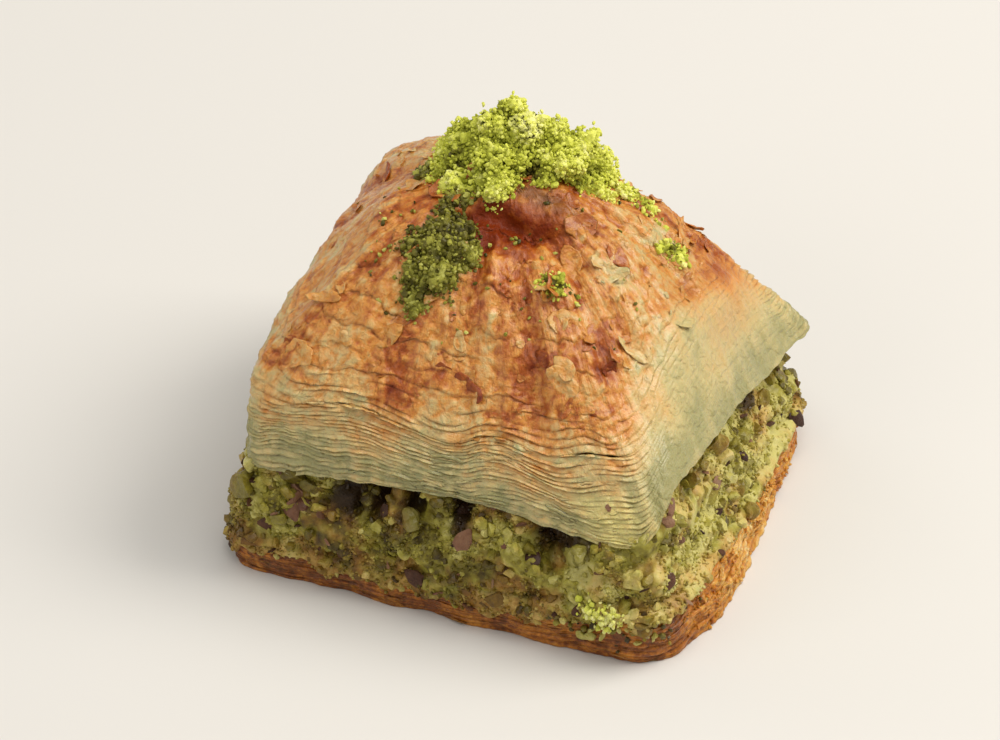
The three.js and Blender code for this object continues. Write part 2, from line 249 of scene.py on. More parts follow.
def rim_points(p, up):
    """Points on an upright drum as long round as the piece, for patterns that follow its rim."""
    turn = math.pi / 2 * p + 0 * up
    drum = 4 * (HALF_X + HALF_Y) / (2 * math.pi)
    return np.stack([drum * np.cos(turn), drum * np.sin(turn), up + 0 * p], axis=-1)


def outward(grid):
    """Unit normals of a grid of points, ring by ring, each ring anticlockwise from above."""
    along = np.roll(grid, -1, axis=1) - np.roll(grid, 1, axis=1)
    up = np.gradient(grid, axis=0)
    normal = np.cross(along, up)
    return normal / np.maximum(np.linalg.norm(normal, axis=-1, keepdims=True), 1e-9)


def around(grid):
    """Which way the rim runs at each point of a grid."""
    along = np.roll(grid, -1, axis=1) - np.roll(grid, 1, axis=1)
    return along / np.linalg.norm(along, axis=-1, keepdims=True)


def ring_mesh(name, foot, grid, top):
    """A closed mesh from a grid of rings, with a point below the first and above the last."""
    rings, count = grid.shape[:2]
    points = np.concatenate([[foot], grid.reshape(-1, 3), [top]])
    i = np.arange(count)
    after = (i + 1) % count
    low = 1 + count * np.arange(rings - 1)[:, None]
    quads = np.stack([low + i, low + after, low + count + after, low + count + i], axis=-1)
    last = 1 + count * (rings - 1)
    faces = [(0, 1 + b, 1 + a) for a, b in zip(i.tolist(), after.tolist())]
    faces += quads.reshape(-1, 4).tolist()
    faces += [(last + a, last + b, len(points) - 1) for a, b in zip(i.tolist(), after.tolist())]
    mesh = bpy.data.meshes.new(name)
    mesh.from_pydata(points.tolist(), [], faces)
    mesh.shade_smooth()
    return mesh


def closed_mesh(name, foot, grid, top):
    """The same from points in the maker's millimetres, moved into the frame."""
    foot, grid, top = ((np.asarray(at) + SHIFT) / 1000 for at in (foot, grid, top))
    return ring_mesh(name, foot, grid, top)


def paint(mesh, name, values):
    """Keeps a value or a vector at each point of a mesh, for its material or what lies on it."""
    values = np.asarray(values, np.float32)
    kind, field = ("FLOAT", "value") if values.ndim == 1 else ("FLOAT_VECTOR", "vector")
    mesh.attributes.new(name, kind, "POINT").data.foreach_set(field, values.ravel())


def capped(values):
    """A grid of values as one list, with the foot and the top point given their neighbours'."""
    flat = values.reshape(-1, *values.shape[2:])
    return np.concatenate([values[0].mean(axis=0)[None], flat, values[-1].mean(axis=0)[None]])


def keep_values(mesh, below=0, above=0, **values):
    """Paints grids of values on a closed mesh, repeated on plain rings below and above them."""
    for name, grid in values.items():
        low, high = np.repeat(grid[:1], below, axis=0), np.repeat(grid[-1:], above, axis=0)
        paint(mesh, name, capped(np.concatenate([low, grid, high])))


node_of = {}  # which node each dressed piece stands for


def dress(mesh, material, node):
    """Shows the mesh as a piece in place of a node."""
    piece = bpy.data.objects.new(mesh.name, mesh)
    scene.collection.objects.link(piece)
    mesh.materials.clear()
    mesh.materials.append(material)
    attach(piece, "root")
    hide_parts(node)
    node_of[piece.name] = node
    return piece


def ramp(tree, factor, stops):
    """A colour ramp over (place, (red, green, blue)) stops."""
    node = add_node(tree, "ShaderNodeValToRGB", {"Fac": factor})
    elements = node.color_ramp.elements
    while len(elements) < len(stops):
        elements.new(0.5)
    for element, (place, color) in zip(elements, stops):
        element.position = place
        element.color = (*color, 1)
    return node.outputs["Color"]


def pattern(tree, size, detail=3, stretch=(1, 1, 1), roughness=0.55):
    """Noise whose lumps are size mm across, on the piece's own coordinates."""
    place = add_node(tree, "ShaderNodeTexCoord").outputs["Object"]
    mapped = add_node(tree, "ShaderNodeMapping", {"Vector": place, "Scale": stretch})
    return add_node(tree, "ShaderNodeTexNoise", {
        "Vector": mapped.outputs["Vector"], "Scale": 1000 / size, "Detail": detail,
        "Roughness": roughness,
    }).outputs["Fac"]


def scaled(tree, value, scale, plus):
    """value * scale + plus."""
    inputs = {0: value, 1: scale, 2: plus}
    return add_node(tree, "ShaderNodeMath", inputs, operation="MULTIPLY_ADD").outputs[0]


def mixed(tree, base, layer, share):
    """Adds (layer - 0.5) times a share to a base value."""
    lowered = add_node(tree, "ShaderNodeMath", {0: base, 1: share / 2}, operation="SUBTRACT")
    return scaled(tree, layer, share, lowered.outputs[0])


def laid_over(tree, color, share, over):
    """A colour with another laid over it by a share."""
    return add_node(tree, "ShaderNodeMix", {0: share, 6: color, 7: over}, data_type="RGBA").outputs[2]


def attribute(tree, name):
    return add_node(tree, "ShaderNodeAttribute", attribute_name=name).outputs["Fac"]


def bumps(tree, shader, layers):
    """Stacks bump nodes, each (height, depth in mm), and gives them to the shader."""
    below = None
    for height, depth in layers:
        node = add_node(tree, "ShaderNodeBump", {"Height": height, "Distance": depth / 1000})
        node.inputs["Strength"].default_value = 1
        if below:
            tree.links.new(below, node.inputs["Normal"])
        below = node.outputs["Normal"]
    tree.links.new(below, shader.inputs["Normal"])


def mesh_points(mesh):
    """A mesh's points, in mm."""
    flat = np.zeros(3 * len(mesh.vertices), np.float32)
    mesh.vertices.foreach_get("co", flat)
    return 1000 * flat.reshape(-1, 3)


def base_pastry():
    p = rim_steps(BASE_POINTS)
    rim = rim_points(p, 0)
    lumps = 0.6 * grain(rim, 6, 1) + 0.14 * grain(rim, 2.2, 2)
    right = near(p, 1.5, 0.62, 0.62)
    shade = 0.31 * right - 0.07 * bell(p, 0.15, 0.25)
    foot = FOOT_SWELL[0] * bell(p, *FOOT_SWELL[1:])
    rings, glow = [], []
    for sheet in range(BASE_SHEETS):
        slide = 0.2 * grain(rim_points(p, 9.1 * sheet), 7, 3)
        slide += 0.08 * grain(rim_points(p, 5.3 * sheet), 1.7, 4)
        bend = 0.9 * grain(rim_points(p, 0.9 * sheet), 8, 5) * (0 < sheet < BASE_SHEETS - 1)
        worn = np.clip(0.7 + 1.1 * grain(rim_points(p, 3 * sheet), 2.4, 6), 0, 2) * (1 - 0.5 * right)
        for share, lip in SHEET_LIP:
            up = (sheet + share + bend) / BASE_SHEETS
            depth = lip * worn
            swell = 0.25 * np.sin(math.pi * up) - 0.25
            rings.append(base_side(p, up, slide + depth + swell + lumps * lerp(0.5, 0.75, right) + foot))
            # Lips, slid sheets and lumps that stand out are painted lighter and the grooves darker: painted
            # light and shade.
            glow.append(0.28 + 0.2 * slide + 0.3 * depth + 0.12 * lumps + shade)
    # The ring at the plate is painted darker: painted shade where it meets the plate.
    rings.insert(0, base_side(p, 0, -1.3) * [1, 1, 0])
    glow.insert(0, glow[0] - 0.2)
    for share in (0.985, 0.95, 0.86, 0.5):
        ring = rings[-1] * [share, share, 0]
        ring[:, 2] = base_top(p, share) + 0.1 * grain(ring, 2)
        rings.append(ring)
        glow.append(glow[-1])
    grid = np.array(rings)
    crumbly = 0.5 - np.abs(grain(grid * [1, 1, 0.6], 3.2, 9))
    fine = 0.1 * grain(grid, 2.6, 8) + (0.05 + 0.14 * right) * grain(grid, 0.8, 7)
    fine += (0.1 + 0.15 * right) * crumbly + 0.2 * right * (0.5 - np.abs(grain(grid, 1.4, 13)))
    fine[0] = 0
    fine[-3:] = 0
    grid += outward(grid) * fine[..., None]
    grid[..., 2] = np.maximum(grid[..., 2], 0)
    mesh = closed_mesh("base_pastry_sheets", [0, 0, 0], grid, [0, 0, BASE_THICK])
    # Nuts have spilled over it, most of all near the front right corner.
    up = np.linspace(0, 1, len(grid))[:, None] + 0 * p
    low = 0.62 - 0.42 * bell(p, 0.9, 0.16) + 0.2 * smooth(np.abs(p - 0.6) / 0.5 - 0.9)
    spilled = smooth((up - low + 0.3 * grain(grid, 2.4, 10)) / 0.25) * (1 - 0.75 * right)
    spilled[[0, -4, -3, -2, -1]] = 0  # none on its foot or under the filling
    grainy = right * smooth(0.45 + 1.2 * grain(grid, 3, 15)) * smooth(up / 0.1) * (up < 0.9)
    frayed = off_corners(p) * smooth(up / 0.1) * (up < 0.85) * smooth(0.5 + 1.3 * grain(grid, 4, 12))
    # The fine relief is painted lighter where it stands out and darker where it sinks: painted light and
    # shade.
    keep_values(mesh, bake=np.array(glow) + 0.4 * fine, cover=spilled, grainy=grainy, frayed=frayed,
                along=around(grid))
    paint(mesh, "tint", 0.5 + 0.4 * grain(mesh_points(mesh), 3, 54))
    return mesh


def soaked_pastry(name):
    """Translucent amber with a wet glaze, caramel brown where it lies deep, and with painted shade in its
    grooves and at the plate.
    """
    material, tree, shader = new_material(name, {
        "Roughness": 0.38, "Specular IOR Level": 0.25, "Coat Weight": 0.18, "Coat Roughness": 0.2,
        "Subsurface Weight": 0.25, "Subsurface Radius": (1.0, 0.45, 0.15), "Subsurface Scale": 0.0018,
    })
    tone = mixed(tree, attribute(tree, "bake"), pattern(tree, 2.6, 4), 0.7)
    tone = mixed(tree, tone, pattern(tree, 0.8, 3, roughness=0.7), 0.75)
    tree.links.new(ramp(tree, tone, [
        (0.0, (0.060, 0.020, 0.004)), (0.25, (0.22, 0.062, 0.008)), (0.45, (0.50, 0.175, 0.016)),
        (0.65, (0.66, 0.33, 0.060)), (0.9, (0.82, 0.60, 0.26)),
    ]), shader.inputs["Base Color"])
    bumps(tree, shader, [(pattern(tree, 0.8, 3), 0.25), (pattern(tree, 0.25, 2), 0.05)])
    return material


base_piece = dress(base_pastry(), soaked_pastry("soaked_pastry"), "base_pastry")

# ---------------------------------------------------------------- upper pastry
# The crisp stack. Below its shoulder the knife has left the edges of single sheets, lapped
# and frayed at the front and dragged smooth at the right. Above it the puffed top sheets are
# torn and lapped up to the crown, furrowed, blistered, and browned under butter and syrup.
FILLING_TOP = 14.6
GAP = 0.3
CROWN_HEIGHT = 42
EDGE_CORNERS = [(-0.945, -0.995), (0.945, -0.87), (1.035, 0.945), (-0.9, 0.94)]
SHOULDER_CORNERS = [(-1, -0.88), (0.77, -0.7), (0.8, 0.78), (-0.93, 0.92)]
EDGE_LIFT = [
    (0, 0.2), (0.55, 2.3), (0.94, 0.2), (1.14, 5.2), (1.5, 4.2), (1.8, 1.4), (2, 0.3),
    (2.5, 1.2), (3, 0.4), (3.5, 1.4),
]
SHOULDER_HEIGHT = [(0, 25.2), (1, 24.5), (1.5, 29.2), (2, 26.4), (2.5, 30), (3, 28), (3.5, 29)]
CROWN_ROUND = [(0, 2.1), (1, 1.8), (2, 1.9), (2.5, 2.2), (3, 2.0), (3.5, 2.1)]
CROWN = (-4.3, 6.8)
FOLD_DEPTH, FOLD_WIDTH, FOLD_MIDDLE = 1.8, 1.7, (0.4, -0.9)
STACK_POINTS = 720
# Going up the skin: mm up the cut side, then over the crust to the crown.
SIDE_LENGTH, SLOPE_LENGTH = 11, 28
SLOPE_END = 0.985  # the share of the slope that the skin's rings climb
ROUNDING = 2.6  # how far each way of the shoulder the skin turns
SHEET_RISE = 0.5  # from one cut sheet's edge to the next
CUT_EDGES = [SHEET_RISE * k for k in range(20)]
TORN_EDGES = [9.6, 10.2, 10.8, 11.5, 12.4, 13.5, 15, 17, 19.4, 22.4, 26, 30.5, 34.6]
TEAR_RINGS = [4, 4, 4, 5, 6, 7, 8, 10, 11, 13, 15, 13, 11]
# Furrows baked brown, running down from the crown: plan place, half width, half length, turn.
FURROWS = [
    (-7.6, -14.5, 1.5, 8, -0.13), (6.8, -13, 1.5, 8, 0.5), (13.6, -9.4, 1.2, 5, 0.83),
    (-15.5, -10, 1.3, 6, -0.6), (0, -15, 1.0, 6, 0.2), (-20, 9, 1.4, 5, 1.3), (3, 17, 1.6, 5, -0.4),
    (-10, 18, 1.4, 5, 0.3),
]
# Browned more or less, with painted highlights on the glossy ridges right of the crease and
# painted shade in the crease and in front of the heap; how many crumbs have strayed; and painted
# shade in the folds, under the heap and on the upper right: each how much, plan place, half
# width, half length, turn.
PATCHES = [
    (0.42, -0.8, 0.2, 7.4, 2.0, 0.2), (0.12, 0, 3, 9, 5), (0.56, -3.2, -2.4, 3.2, 2.8),
    (0.14, -0.6, -6.2, 2.4, 3),
    (-0.05, -19, -17, 7, 7), (-0.14, 16, -6, 1.3, 9), (-0.22, 11, 6.5, 5, 5), (0.05, -14, 2, 5, 6),
    (-0.05, -19, -1, 6, 11), (0.13, 20, 4.6, 4, 4), (0.17, 8, -8, 3, 4), (0.1, 3, -15, 2.5, 3),
    (0.22, 20.5, 12, 3, 4.5), (0.16, 7, 8, 3, 2), (0.12, -4.8, -3.6, 2, 1.6), (-0.2, 22.6, -14, 2.2, 4),
    (-0.1, -1.5, -16.5, 3, 3), (0.08, 6.5, -16, 2.5, 3), (-0.12, -11.5, -16.5, 2.2, 3),
    (-0.2, -17.5, -11.5, 2.6, 3), (0.15, 1.5, 4.4, 5, 1.6), (0.1, 2.2, -12.6, 2, 2.5),
    (0.08, 12.5, -11.5, 3, 3), (0.08, 14.5, 4.6, 2.5, 2.5), (0.12, -14.5, 0, 3, 3),
    (0.2, -7.6, -17.6, 2.2, 3), (-0.14, 0, -17.3, 2, 3), (-0.12, 12.8, -1, 3, 3.5),
]
STRAYS = [(0.6, -7, -4.5, 6, 6.5), (0.1, 8, -3, 8, 5), (0.25, 10, 12, 8, 4), (0.012, 0, 0, 22, 22)]
SHADED = [(0.5, 1, 3.8, 6, 1.3), (0.12, 17.5, 6, 4, 6)]
SMOOTH_SLOPE = (-18, 3, 8, 14)  # a calmer stretch on the left


def edge_height(p):
    a = math.pi / 2 * p
    ragged = 0.08 * np.sin(38 * a + 4 * np.sin(5 * a)) + 0.08 * np.sin(67 * a + 5 * np.sin(3 * a))
    return FILLING_TOP + GAP + round_the_rim(EDGE_LIFT, p) + ragged + 0.32 * wave(p, 4)


def cut_side(p, up):
    """A point on the cut side, up from 0 at the lowest sheet's edge to 1 at the shoulder."""
    ex, ey = in_plan(p, lerp(18, 60, bell(p, 2, 0.08)), EDGE_CORNERS)
    sx, sy = in_plan(p, 8, SHOULDER_CORNERS)
    # The front stands steep at its foot, the right side flares out there.
    lean = np.clip(up, 0, 1) ** (1.35 - 0.45 * near(p, 1.62, 0.62, 0.62))
    height = lerp(edge_height(p), round_the_rim(SHOULDER_HEIGHT, p), up)
    return np.stack([lerp(ex, sx, lean), lerp(ey, sy, lean), height], axis=-1)


def past_fold(x, y):
    """How far a plan point lies behind the line of the fold, in mm."""
    return y - FOLD_MIDDLE[1] - 0.12 * (x - FOLD_MIDDLE[0])


def crust_wrinkle(x, y):
    buckle = 0.5 * np.sin(0.33 * x + 0.2 * y + 1) * np.sin(0.27 * y - 0.14 * x)
    furrow = 0.3 * np.sin(1.15 * x - 0.3 * y)
    return buckle + furrow - FOLD_DEPTH * bell(past_fold(x, y), 0, FOLD_WIDTH) * bell(x, FOLD_MIDDLE[0], 10)


def crust(p, inward):
    """A point on the crust, inward from 0 at the shoulder to 1 at the crown."""
    shoulder = cut_side(p, 1)
    rx, ry = in_plan(p, lerp(8, 2.4, inward), SHOULDER_CORNERS)
    out = 1 - inward
    turn = np.minimum(1, 2 * inward)
    x = lerp(CROWN[0], lerp(shoulder[:, 0], rx, turn), out)
    y = lerp(CROWN[1], lerp(shoulder[:, 1], ry, turn), out)
    rise = (CROWN_HEIGHT - shoulder[:, 2]) * (1 - out ** round_the_rim(CROWN_ROUND, p))
    height = shoulder[:, 2] + rise + crust_wrinkle(x, y) * np.minimum(1, 5 * out * inward)
    return np.stack([x, y, height], axis=-1)


def skin(p, t):
    """A point on the stack's skin, t mm up from its lowest edge, with the shoulder rounded."""
    turn = np.minimum(ROUNDING, np.minimum(t, SIDE_LENGTH + SLOPE_END * SLOPE_LENGTH - t))
    total = 0
    for share in (-1, -2 / 3, -1 / 3, 0, 1 / 3, 2 / 3, 1):
        at = t + share * turn
        side = cut_side(p, np.minimum(at / SIDE_LENGTH, 1))
        over = crust(p, np.clip((at - SIDE_LENGTH) / SLOPE_LENGTH, 0, SLOPE_END))
        total = total + np.where((at > SIDE_LENGTH)[:, None], over, side)
    return total / 7


def bump_at(points, cx, cy, rx, ry, turn=0.0):
    """A soft oval patch in plan, 1 in its middle."""
    c, s = math.cos(turn), math.sin(turn)
    dx, dy = points[..., 0] - cx, points[..., 1] - cy
    return bell(dx * c + dy * s, 0, rx) * bell(dy * c - dx * s, 0, ry)


def patchwork(points, patches):
    """The sum of such patches, each given how much it counts."""
    return sum(much * bump_at(points, *patch) for much, *patch in patches)


def lapped(p, edges, counts, last):
    """Rings of the skin between the sheets' ends, with their laps, tones, places and painted shade for the
    gaps.
    """
    dragged = near(p, 1.5, 0.53, 0.16)  # 1 along the right side
    ends = []
    for t, following in zip(edges, [*edges[1:], last]):
        drum = rim_points(p, 17 * t)
        ragged = 0.5 * grain(drum, 9, 11) + 0.28 * grain(drum, 3, 12) + 0.14 * grain(drum, 1.1, 13)
        bend = 1.3 * grain(rim_points(p, 0.9 * t), 8, 14) * smooth(t / 3) * smooth((15 - t) / 4)
        ends.append(t + 0.55 * (following - t) * ragged + bend * (1 - 0.7 * dragged))
    ends.append(last + 0 * p)
    rows = []
    for k, count in enumerate(counts):
        drum = rim_points(p, 17 * edges[k])
        cut = 1 - smooth((edges[k] - 9) / 6)  # 1 on the cut side, 0 on the crust
        lip = 0.05 + 0.03 * cut + 0.17 * grain(drum, 5, 15) + (0.07 + 0.16 * grain(drum, 1.8, 16)) * cut
        lip = np.clip(lip, 0, 0.42) * (1 - 0.93 * dragged * cut)
        # Painted shade between the sheets, darkest in the middle of the front and least at its right end.
        shade_in_gap = 0.8 * smooth(3.2 * lip) * smooth(0.55 + 1.1 * grain(drum, 3.5, 19))
        shade_in_gap = shade_in_gap * (1 - 0.9 * bell(p, 0.93, 0.16)) * (1 + 0.5 * bell(p, 0.42, 0.12))
        tone = (0.05 * grain(drum, 1.4, 18) + 0.04 * (k % 2)) * cut * (1 - 0.85 * dragged)
        tone += 0.07 * grain(drum, 12, 17) * (1 - 0.75 * dragged * cut)
        # Under the lip: a groove, with painted shade both in its tone and laid over its colour.
        rows.append((ends[k] - 0.04, -0.6 * lip, tone + 0.3 * lip, shade_in_gap))  # under the lip
        for j in range(count):
            share = j / count
            shut = 0.35 if j == count - 1 else 0
            rows.append((lerp(ends[k], ends[k + 1], share), lip * (1 - share) ** 1.5, tone, shut * shade_in_gap))
    places, laps, tones, gap_shades = (np.array(each) for each in zip(*rows))
    places = np.clip(places, 0, SIDE_LENGTH + SLOPE_END * SLOPE_LENGTH)
    return np.array([skin(p, place) for place in places]), laps, tones, places, gap_shades


def browning_and_painted_light(points, place, p):
    """How far the skin is browned, from 0, pale, to 1, dark red-brown, with painted highlights and painted
    shade laid in.
    """
    x, y = points[..., 0], points[..., 1]
    bake = -0.02 + 0.27 * smooth((place - 1.5) / 7) + 0.26 * smooth((place - 8) / 6)
    bake += 0.08 * smooth((p - 0.5) / 0.3) * (p < 1.5) * smooth((8 - place) / 5)
    # The tongue at the front right is painted lighter: painted light on its shaded side.
    bake -= 0.07 * bell(p, 0.94, 0.12) * smooth((8 - place) / 4)
    # The right side is pale up to a line that the knife has left.
    cut = smooth((x - 16 - 0.2 * np.maximum(y + 2, 0)) / 2.6)
    pale = 0.05 + 0.065 * (place - 5) / 5 - 0.05 * smooth((y - 6) / 12)
    bake = lerp(bake, pale, near(p, 1.52, 0.6, 0.6) * cut)
    # The furrows and patches brown it, and the patches also lay in painted highlights and painted shade.
    bake += 0.13 * sum(bump_at(points, *groove) for groove in FURROWS) + patchwork(points, PATCHES)
    # The corner over the front right foot is pale and greenish.
    bake -= 0.1 * bell(p, 0.995, 0.025) * bell(place, 6, 1.8)
    bake += 0.07 * bell(p, 0.93, 0.1) * smooth((4 - place) / 3)
    return bake


def risen(p, rings, laps, place):
    """The rings with their laps, furrows, blisters and crinkles, and where these lie."""
    drum = rim_points(p, place)
    calm = near(p, 1.5, 0.53, 0.16) * smooth((16 - place) / 5)
    fade = smooth((33 - place) / 9)
    low = smooth((11 - place) / 6)
    streaks = fade * grain(drum * [1, 1, 0.2], 1.7, 21)
    furrows = fade * grain(drum * [1, 1, 0.13], 5.2, 22) * (1 - 0.55 * low)
    blister = np.clip(grain(rings, 1.9, 23) - 0.2, 0, 1) * (1 - low)
    middle = grain(rings, 3.4, 25) * (1 - 0.5 * low)
    crinkle = 0.5 - np.abs(grain(rings, 1.5, 26))
    fine_crinkle = 0.5 - np.abs(grain(rings, 0.7, 27))
    grooves = sum(bump_at(rings, *groove) for groove in FURROWS)
    relief = 0.12 * streaks + 0.42 * furrows + 0.26 * blister + 0.24 * middle
    relief -= 0.35 * grooves * (1 - low)
    relief += (0.18 * crinkle + 0.14 * fine_crinkle) * (1 - 0.5 * low)
    relief *= 1 - 0.45 * bump_at(rings, *SMOOTH_SLOPE)
    relief -= 1.6 * bump_at(rings, -14, 10, 7, 6)
    relief -= 1.1 * bump_at(rings, -22.5, -7, 4.5, 9) * smooth((place - 8) / 5)
    # What the knife has dragged along the right side.
    slant = drum + [0, 0.35, 0] * drum[..., 2:]
    smear = grain(slant * [1, 1, 0.35], 2.4, 28)
    drag = 0.07 * smear + 0.05 * grain(slant * [1, 1, 0.5], 0.9, 30)
    drag += 0.15 * grain(drum * [0.5, 0.5, 1], 5, 29)
    corner = 0.25 * bell(p, 1.985, 0.05) * smooth((10 - place) / 8)
    relief = laps + relief * (1 - 0.88 * calm) + drag * calm + corner
    tone = 0.06 * streaks - 0.12 * furrows + 0.10 * middle - 0.16 * blister
    tone -= (0.16 * crinkle + 0.12 * fine_crinkle) * (1 - 0.6 * low)
    tone = tone * (1 - 0.7 * calm) + (0.045 * smear + 0.06 * grain(drum, 6, 31)) * calm
    return rings + outward(rings) * relief[..., None], tone, calm, drum


def crust_mesh():
    p = rim_steps(STACK_POINTS)
    last = SIDE_LENGTH + 0.98 * SLOPE_LENGTH
    rings, laps, tones, place, gap_shades = lapped(p, TORN_EDGES, TEAR_RINGS, last)
    grid, relief_tone, calm, drum = risen(p, rings, laps, place)
    # The crust folds over itself under the crumbs: its upper side overhangs the crease.
    past = past_fold(grid[..., 0], grid[..., 1]) + 0.5 * np.sin(0.7 * grid[..., 0])
    folded = bell(grid[..., 0], -0.5, 5)
    grid[..., 1] -= 0.8 * folded * bell(past, 2.8, 1.0)
    grid[..., 2] -= 1.5 * folded * bell(past, 1.2, 1.3)
    inside = [grid[0] * [0.5, 0.5, 1], grid[0] * [0.93, 0.93, 1]]
    inside[1][:, 2] += 0.5
    top = [*CROWN, CROWN_HEIGHT]
    mesh = closed_mesh("browned_crust", [0, 0, 24], np.concatenate([inside, grid]), top)
    stray = patchwork(grid, STRAYS) * smooth(0.5 + 1.5 * grain(grid, 2.5, 38)) * smooth((place - 14) / 4)
    flaky = smooth((place - 12) / 3) * (0.25 + np.clip(grain(grid, 7, 20), 0, 1))
    flaky = flaky * (1 - np.minimum(1, 1.6 * bump_at(grid, -0.2, 0.4, 7, 3.4)))
    flaky = flaky * (1 - 0.75 * bump_at(grid, *SMOOTH_SLOPE))
    # The painted shade darkens the gaps between the sheets, the strip under the heap's front and the upper
    # right.
    keep_values(mesh, 2, 0, bake=browning_and_painted_light(grid, place, p) + tones + relief_tone, stray=stray,
                flaky=flaky, mottle=(1 - 0.8 * calm) * (1 - 0.6 * smooth((12 - place) / 3)),
                flow=drum, fibre=smooth((31 - place) / 9) * (1 - 0.5 * calm),
                gap=lerp(0.6 * gap_shades, 1, patchwork(grid, SHADED)))
    return mesh


def cut_edges_mesh():
    p = rim_steps(STACK_POINTS)
    last = CUT_EDGES[-1] + SHEET_RISE
    rings, laps, tones, place, gap_shades = lapped(p, CUT_EDGES, [4] * len(CUT_EDGES), last)
    grid, relief_tone, calm, drum = risen(p, rings, laps, place)
    under = [rings[0] * [share, share, 1] for share in (0.5, 0.9)]
    for ring, share in zip(under, (0.5, 0.9)):
        ring[:, 2] = lerp(FILLING_TOP + GAP, ring[:, 2], smooth(2 * share - 1)) + 0.15
    over = [grid[-1] * [share, share, 1] for share in (0.93, 0.5)]
    foot, top = [0, 0, FILLING_TOP + GAP + 0.15], [0, 0, 26]
    mesh = closed_mesh("cut_sheet_edges", foot, np.concatenate([under, grid, over]), top)
    frayed = (1 - near(p, 1.5, 0.6, 0.06)) * off_corners(p)
    frayed = frayed * smooth((place - 0.3) / 1) * smooth(0.5 + 1.3 * grain(grid, 5, 37))
    # pale is painted light on the shaded tip where the front edges run together.
    pale = 0.55 * bell(p, 0.92, 0.085) * smooth((7.4 - place) / 3)
    # The painted shade darkens the gaps between the sheets and a patch on the upper right.
    keep_values(mesh, 2, 2, bake=browning_and_painted_light(grid, place, p) + tones + relief_tone, flow=drum,
                fibre=0.35 + 0 * place, mottle=(1 - 0.7 * calm) * 0.45, frayed=frayed,
                gap=gap_shades + 0.16 * bump_at(grid, 21.5, 9, 4, 7), along=around(grid), pale=pale,
                spot=bell(p, 0.923, 0.012) * bell(place, 4.6, 0.6))
    return mesh


def blisters(tree, size):
    """How far a spot is from the rim of its blister."""
    place = add_node(tree, "ShaderNodeTexCoord").outputs["Object"]
    drift = add_node(tree, "ShaderNodeTexNoise", {"Vector": place, "Scale": 700, "Detail": 2})
    shaken = add_node(tree, "ShaderNodeVectorMath", {
        0: drift.outputs["Color"], 1: (0.0016, 0.0016, 0.0016), 2: place,
    }, operation="MULTIPLY_ADD")
    cells = add_node(tree, "ShaderNodeTexVoronoi", {
        "Vector": shaken.outputs["Vector"], "Scale": 1000 / size,
    }, feature="DISTANCE_TO_EDGE")
    return add_node(tree, "ShaderNodeMapRange", {
        "Value": cells.outputs["Distance"], "From Min": 0.0, "From Max": 0.3,
    }, interpolation_type="SMOOTHSTEP").outputs["Result"]


def crisp_pastry(name, tint_share=0.0):
    """Buttered filo: greenish cream where it is pale, gold, then red-brown, with a satin shine."""
    material, tree, shader = new_material(name, {
        "Roughness": 0.42, "Coat Roughness": 0.22, "Subsurface Weight": 0.15,
        "Subsurface Radius": (1.0, 0.5, 0.2), "Subsurface Scale": 0.001,
    })
    domes = blisters(tree, 1.7)
    spots = mixed(tree, 0.0, pattern(tree, 3.2, 4), 0.3)
    spots = mixed(tree, spots, pattern(tree, 0.8, 4, roughness=0.7), 0.34)
    spots = mixed(tree, spots, domes, -0.1)
    flow = add_node(tree, "ShaderNodeAttribute", attribute_name="flow").outputs["Vector"]
    drawn = add_node(tree, "ShaderNodeMapping", {"Vector": flow, "Scale": (1, 1, 0.36)})
    fibres = add_node(tree, "ShaderNodeTexNoise", {
        "Vector": drawn.outputs[0], "Scale": 1 / 1.3, "Detail": 4, "Roughness": 0.6, "Distortion": 0.6,
    }).outputs["Fac"]
    fibres = scaled(tree, mixed(tree, 0.0, fibres, 1.0), attribute(tree, "fibre"), 0.5)
    spots = mixed(tree, spots, fibres, 0.4)
    tone = scaled(tree, spots, attribute(tree, "mottle"), attribute(tree, "bake"))
    if tint_share:
        tone = mixed(tree, tone, attribute(tree, "tint"), tint_share)
    color = ramp(tree, tone, [
        (0.0, (0.34, 0.31, 0.12)), (0.12, (0.56, 0.455, 0.19)), (0.28, (0.66, 0.415, 0.145)),
        (0.46, (0.65, 0.265, 0.042)), (0.68, (0.39, 0.090, 0.007)), (0.95, (0.18, 0.024, 0.003)),
    ])
    # Painted light on the shaded tip where the front edges run together, and painted shade between the
    # sheets, in the folds and under the heap.
    color = laid_over(tree, color, attribute(tree, "pale"), (0.86, 0.72, 0.23, 1))
    color = laid_over(tree, color, attribute(tree, "gap"), (0.13, 0.085, 0.022, 1))
    tree.links.new(color, shader.inputs["Base Color"])
    # The syrup has soaked in where it is browned most.
    shine = add_node(tree, "ShaderNodeMapRange", {
        "Value": attribute(tree, "bake"), "From Min": 0.5, "From Max": 0.95,
        "To Min": 0.4, "To Max": 0.08,
    }).outputs["Result"]
    tree.links.new(shine, shader.inputs["Coat Weight"])
    tree.links.new(shine, shader.inputs["Specular IOR Level"])
    bumps(tree, shader, [
        (domes, 0.1), (fibres, 0.4), (pattern(tree, 0.9, 4), 0.25), (pattern(tree, 0.3, 3), 0.12),
    ])
    return material


crisp = crisp_pastry("crisp_pastry")
crust_piece = dress(crust_mesh(), crisp, "top_pastry")
side_piece = dress(cut_edges_mesh(), crisp, "top_pastry")

# ---------------------------------------------------------------- pistachio filling: packed meal
# The body of the nut layer: fine meal pressed together, damp with syrup, uneven at the cut
# and hollow in places under the upper sheets. Chopped nuts are strewn over it below.
FILLING_CORNERS = [(-1.04, -1.04), (0.985, -0.965), (1.0, 0.96), (-0.96, 0.97)]
MEAL_POINTS = 700
MEAL_RINGS = 44
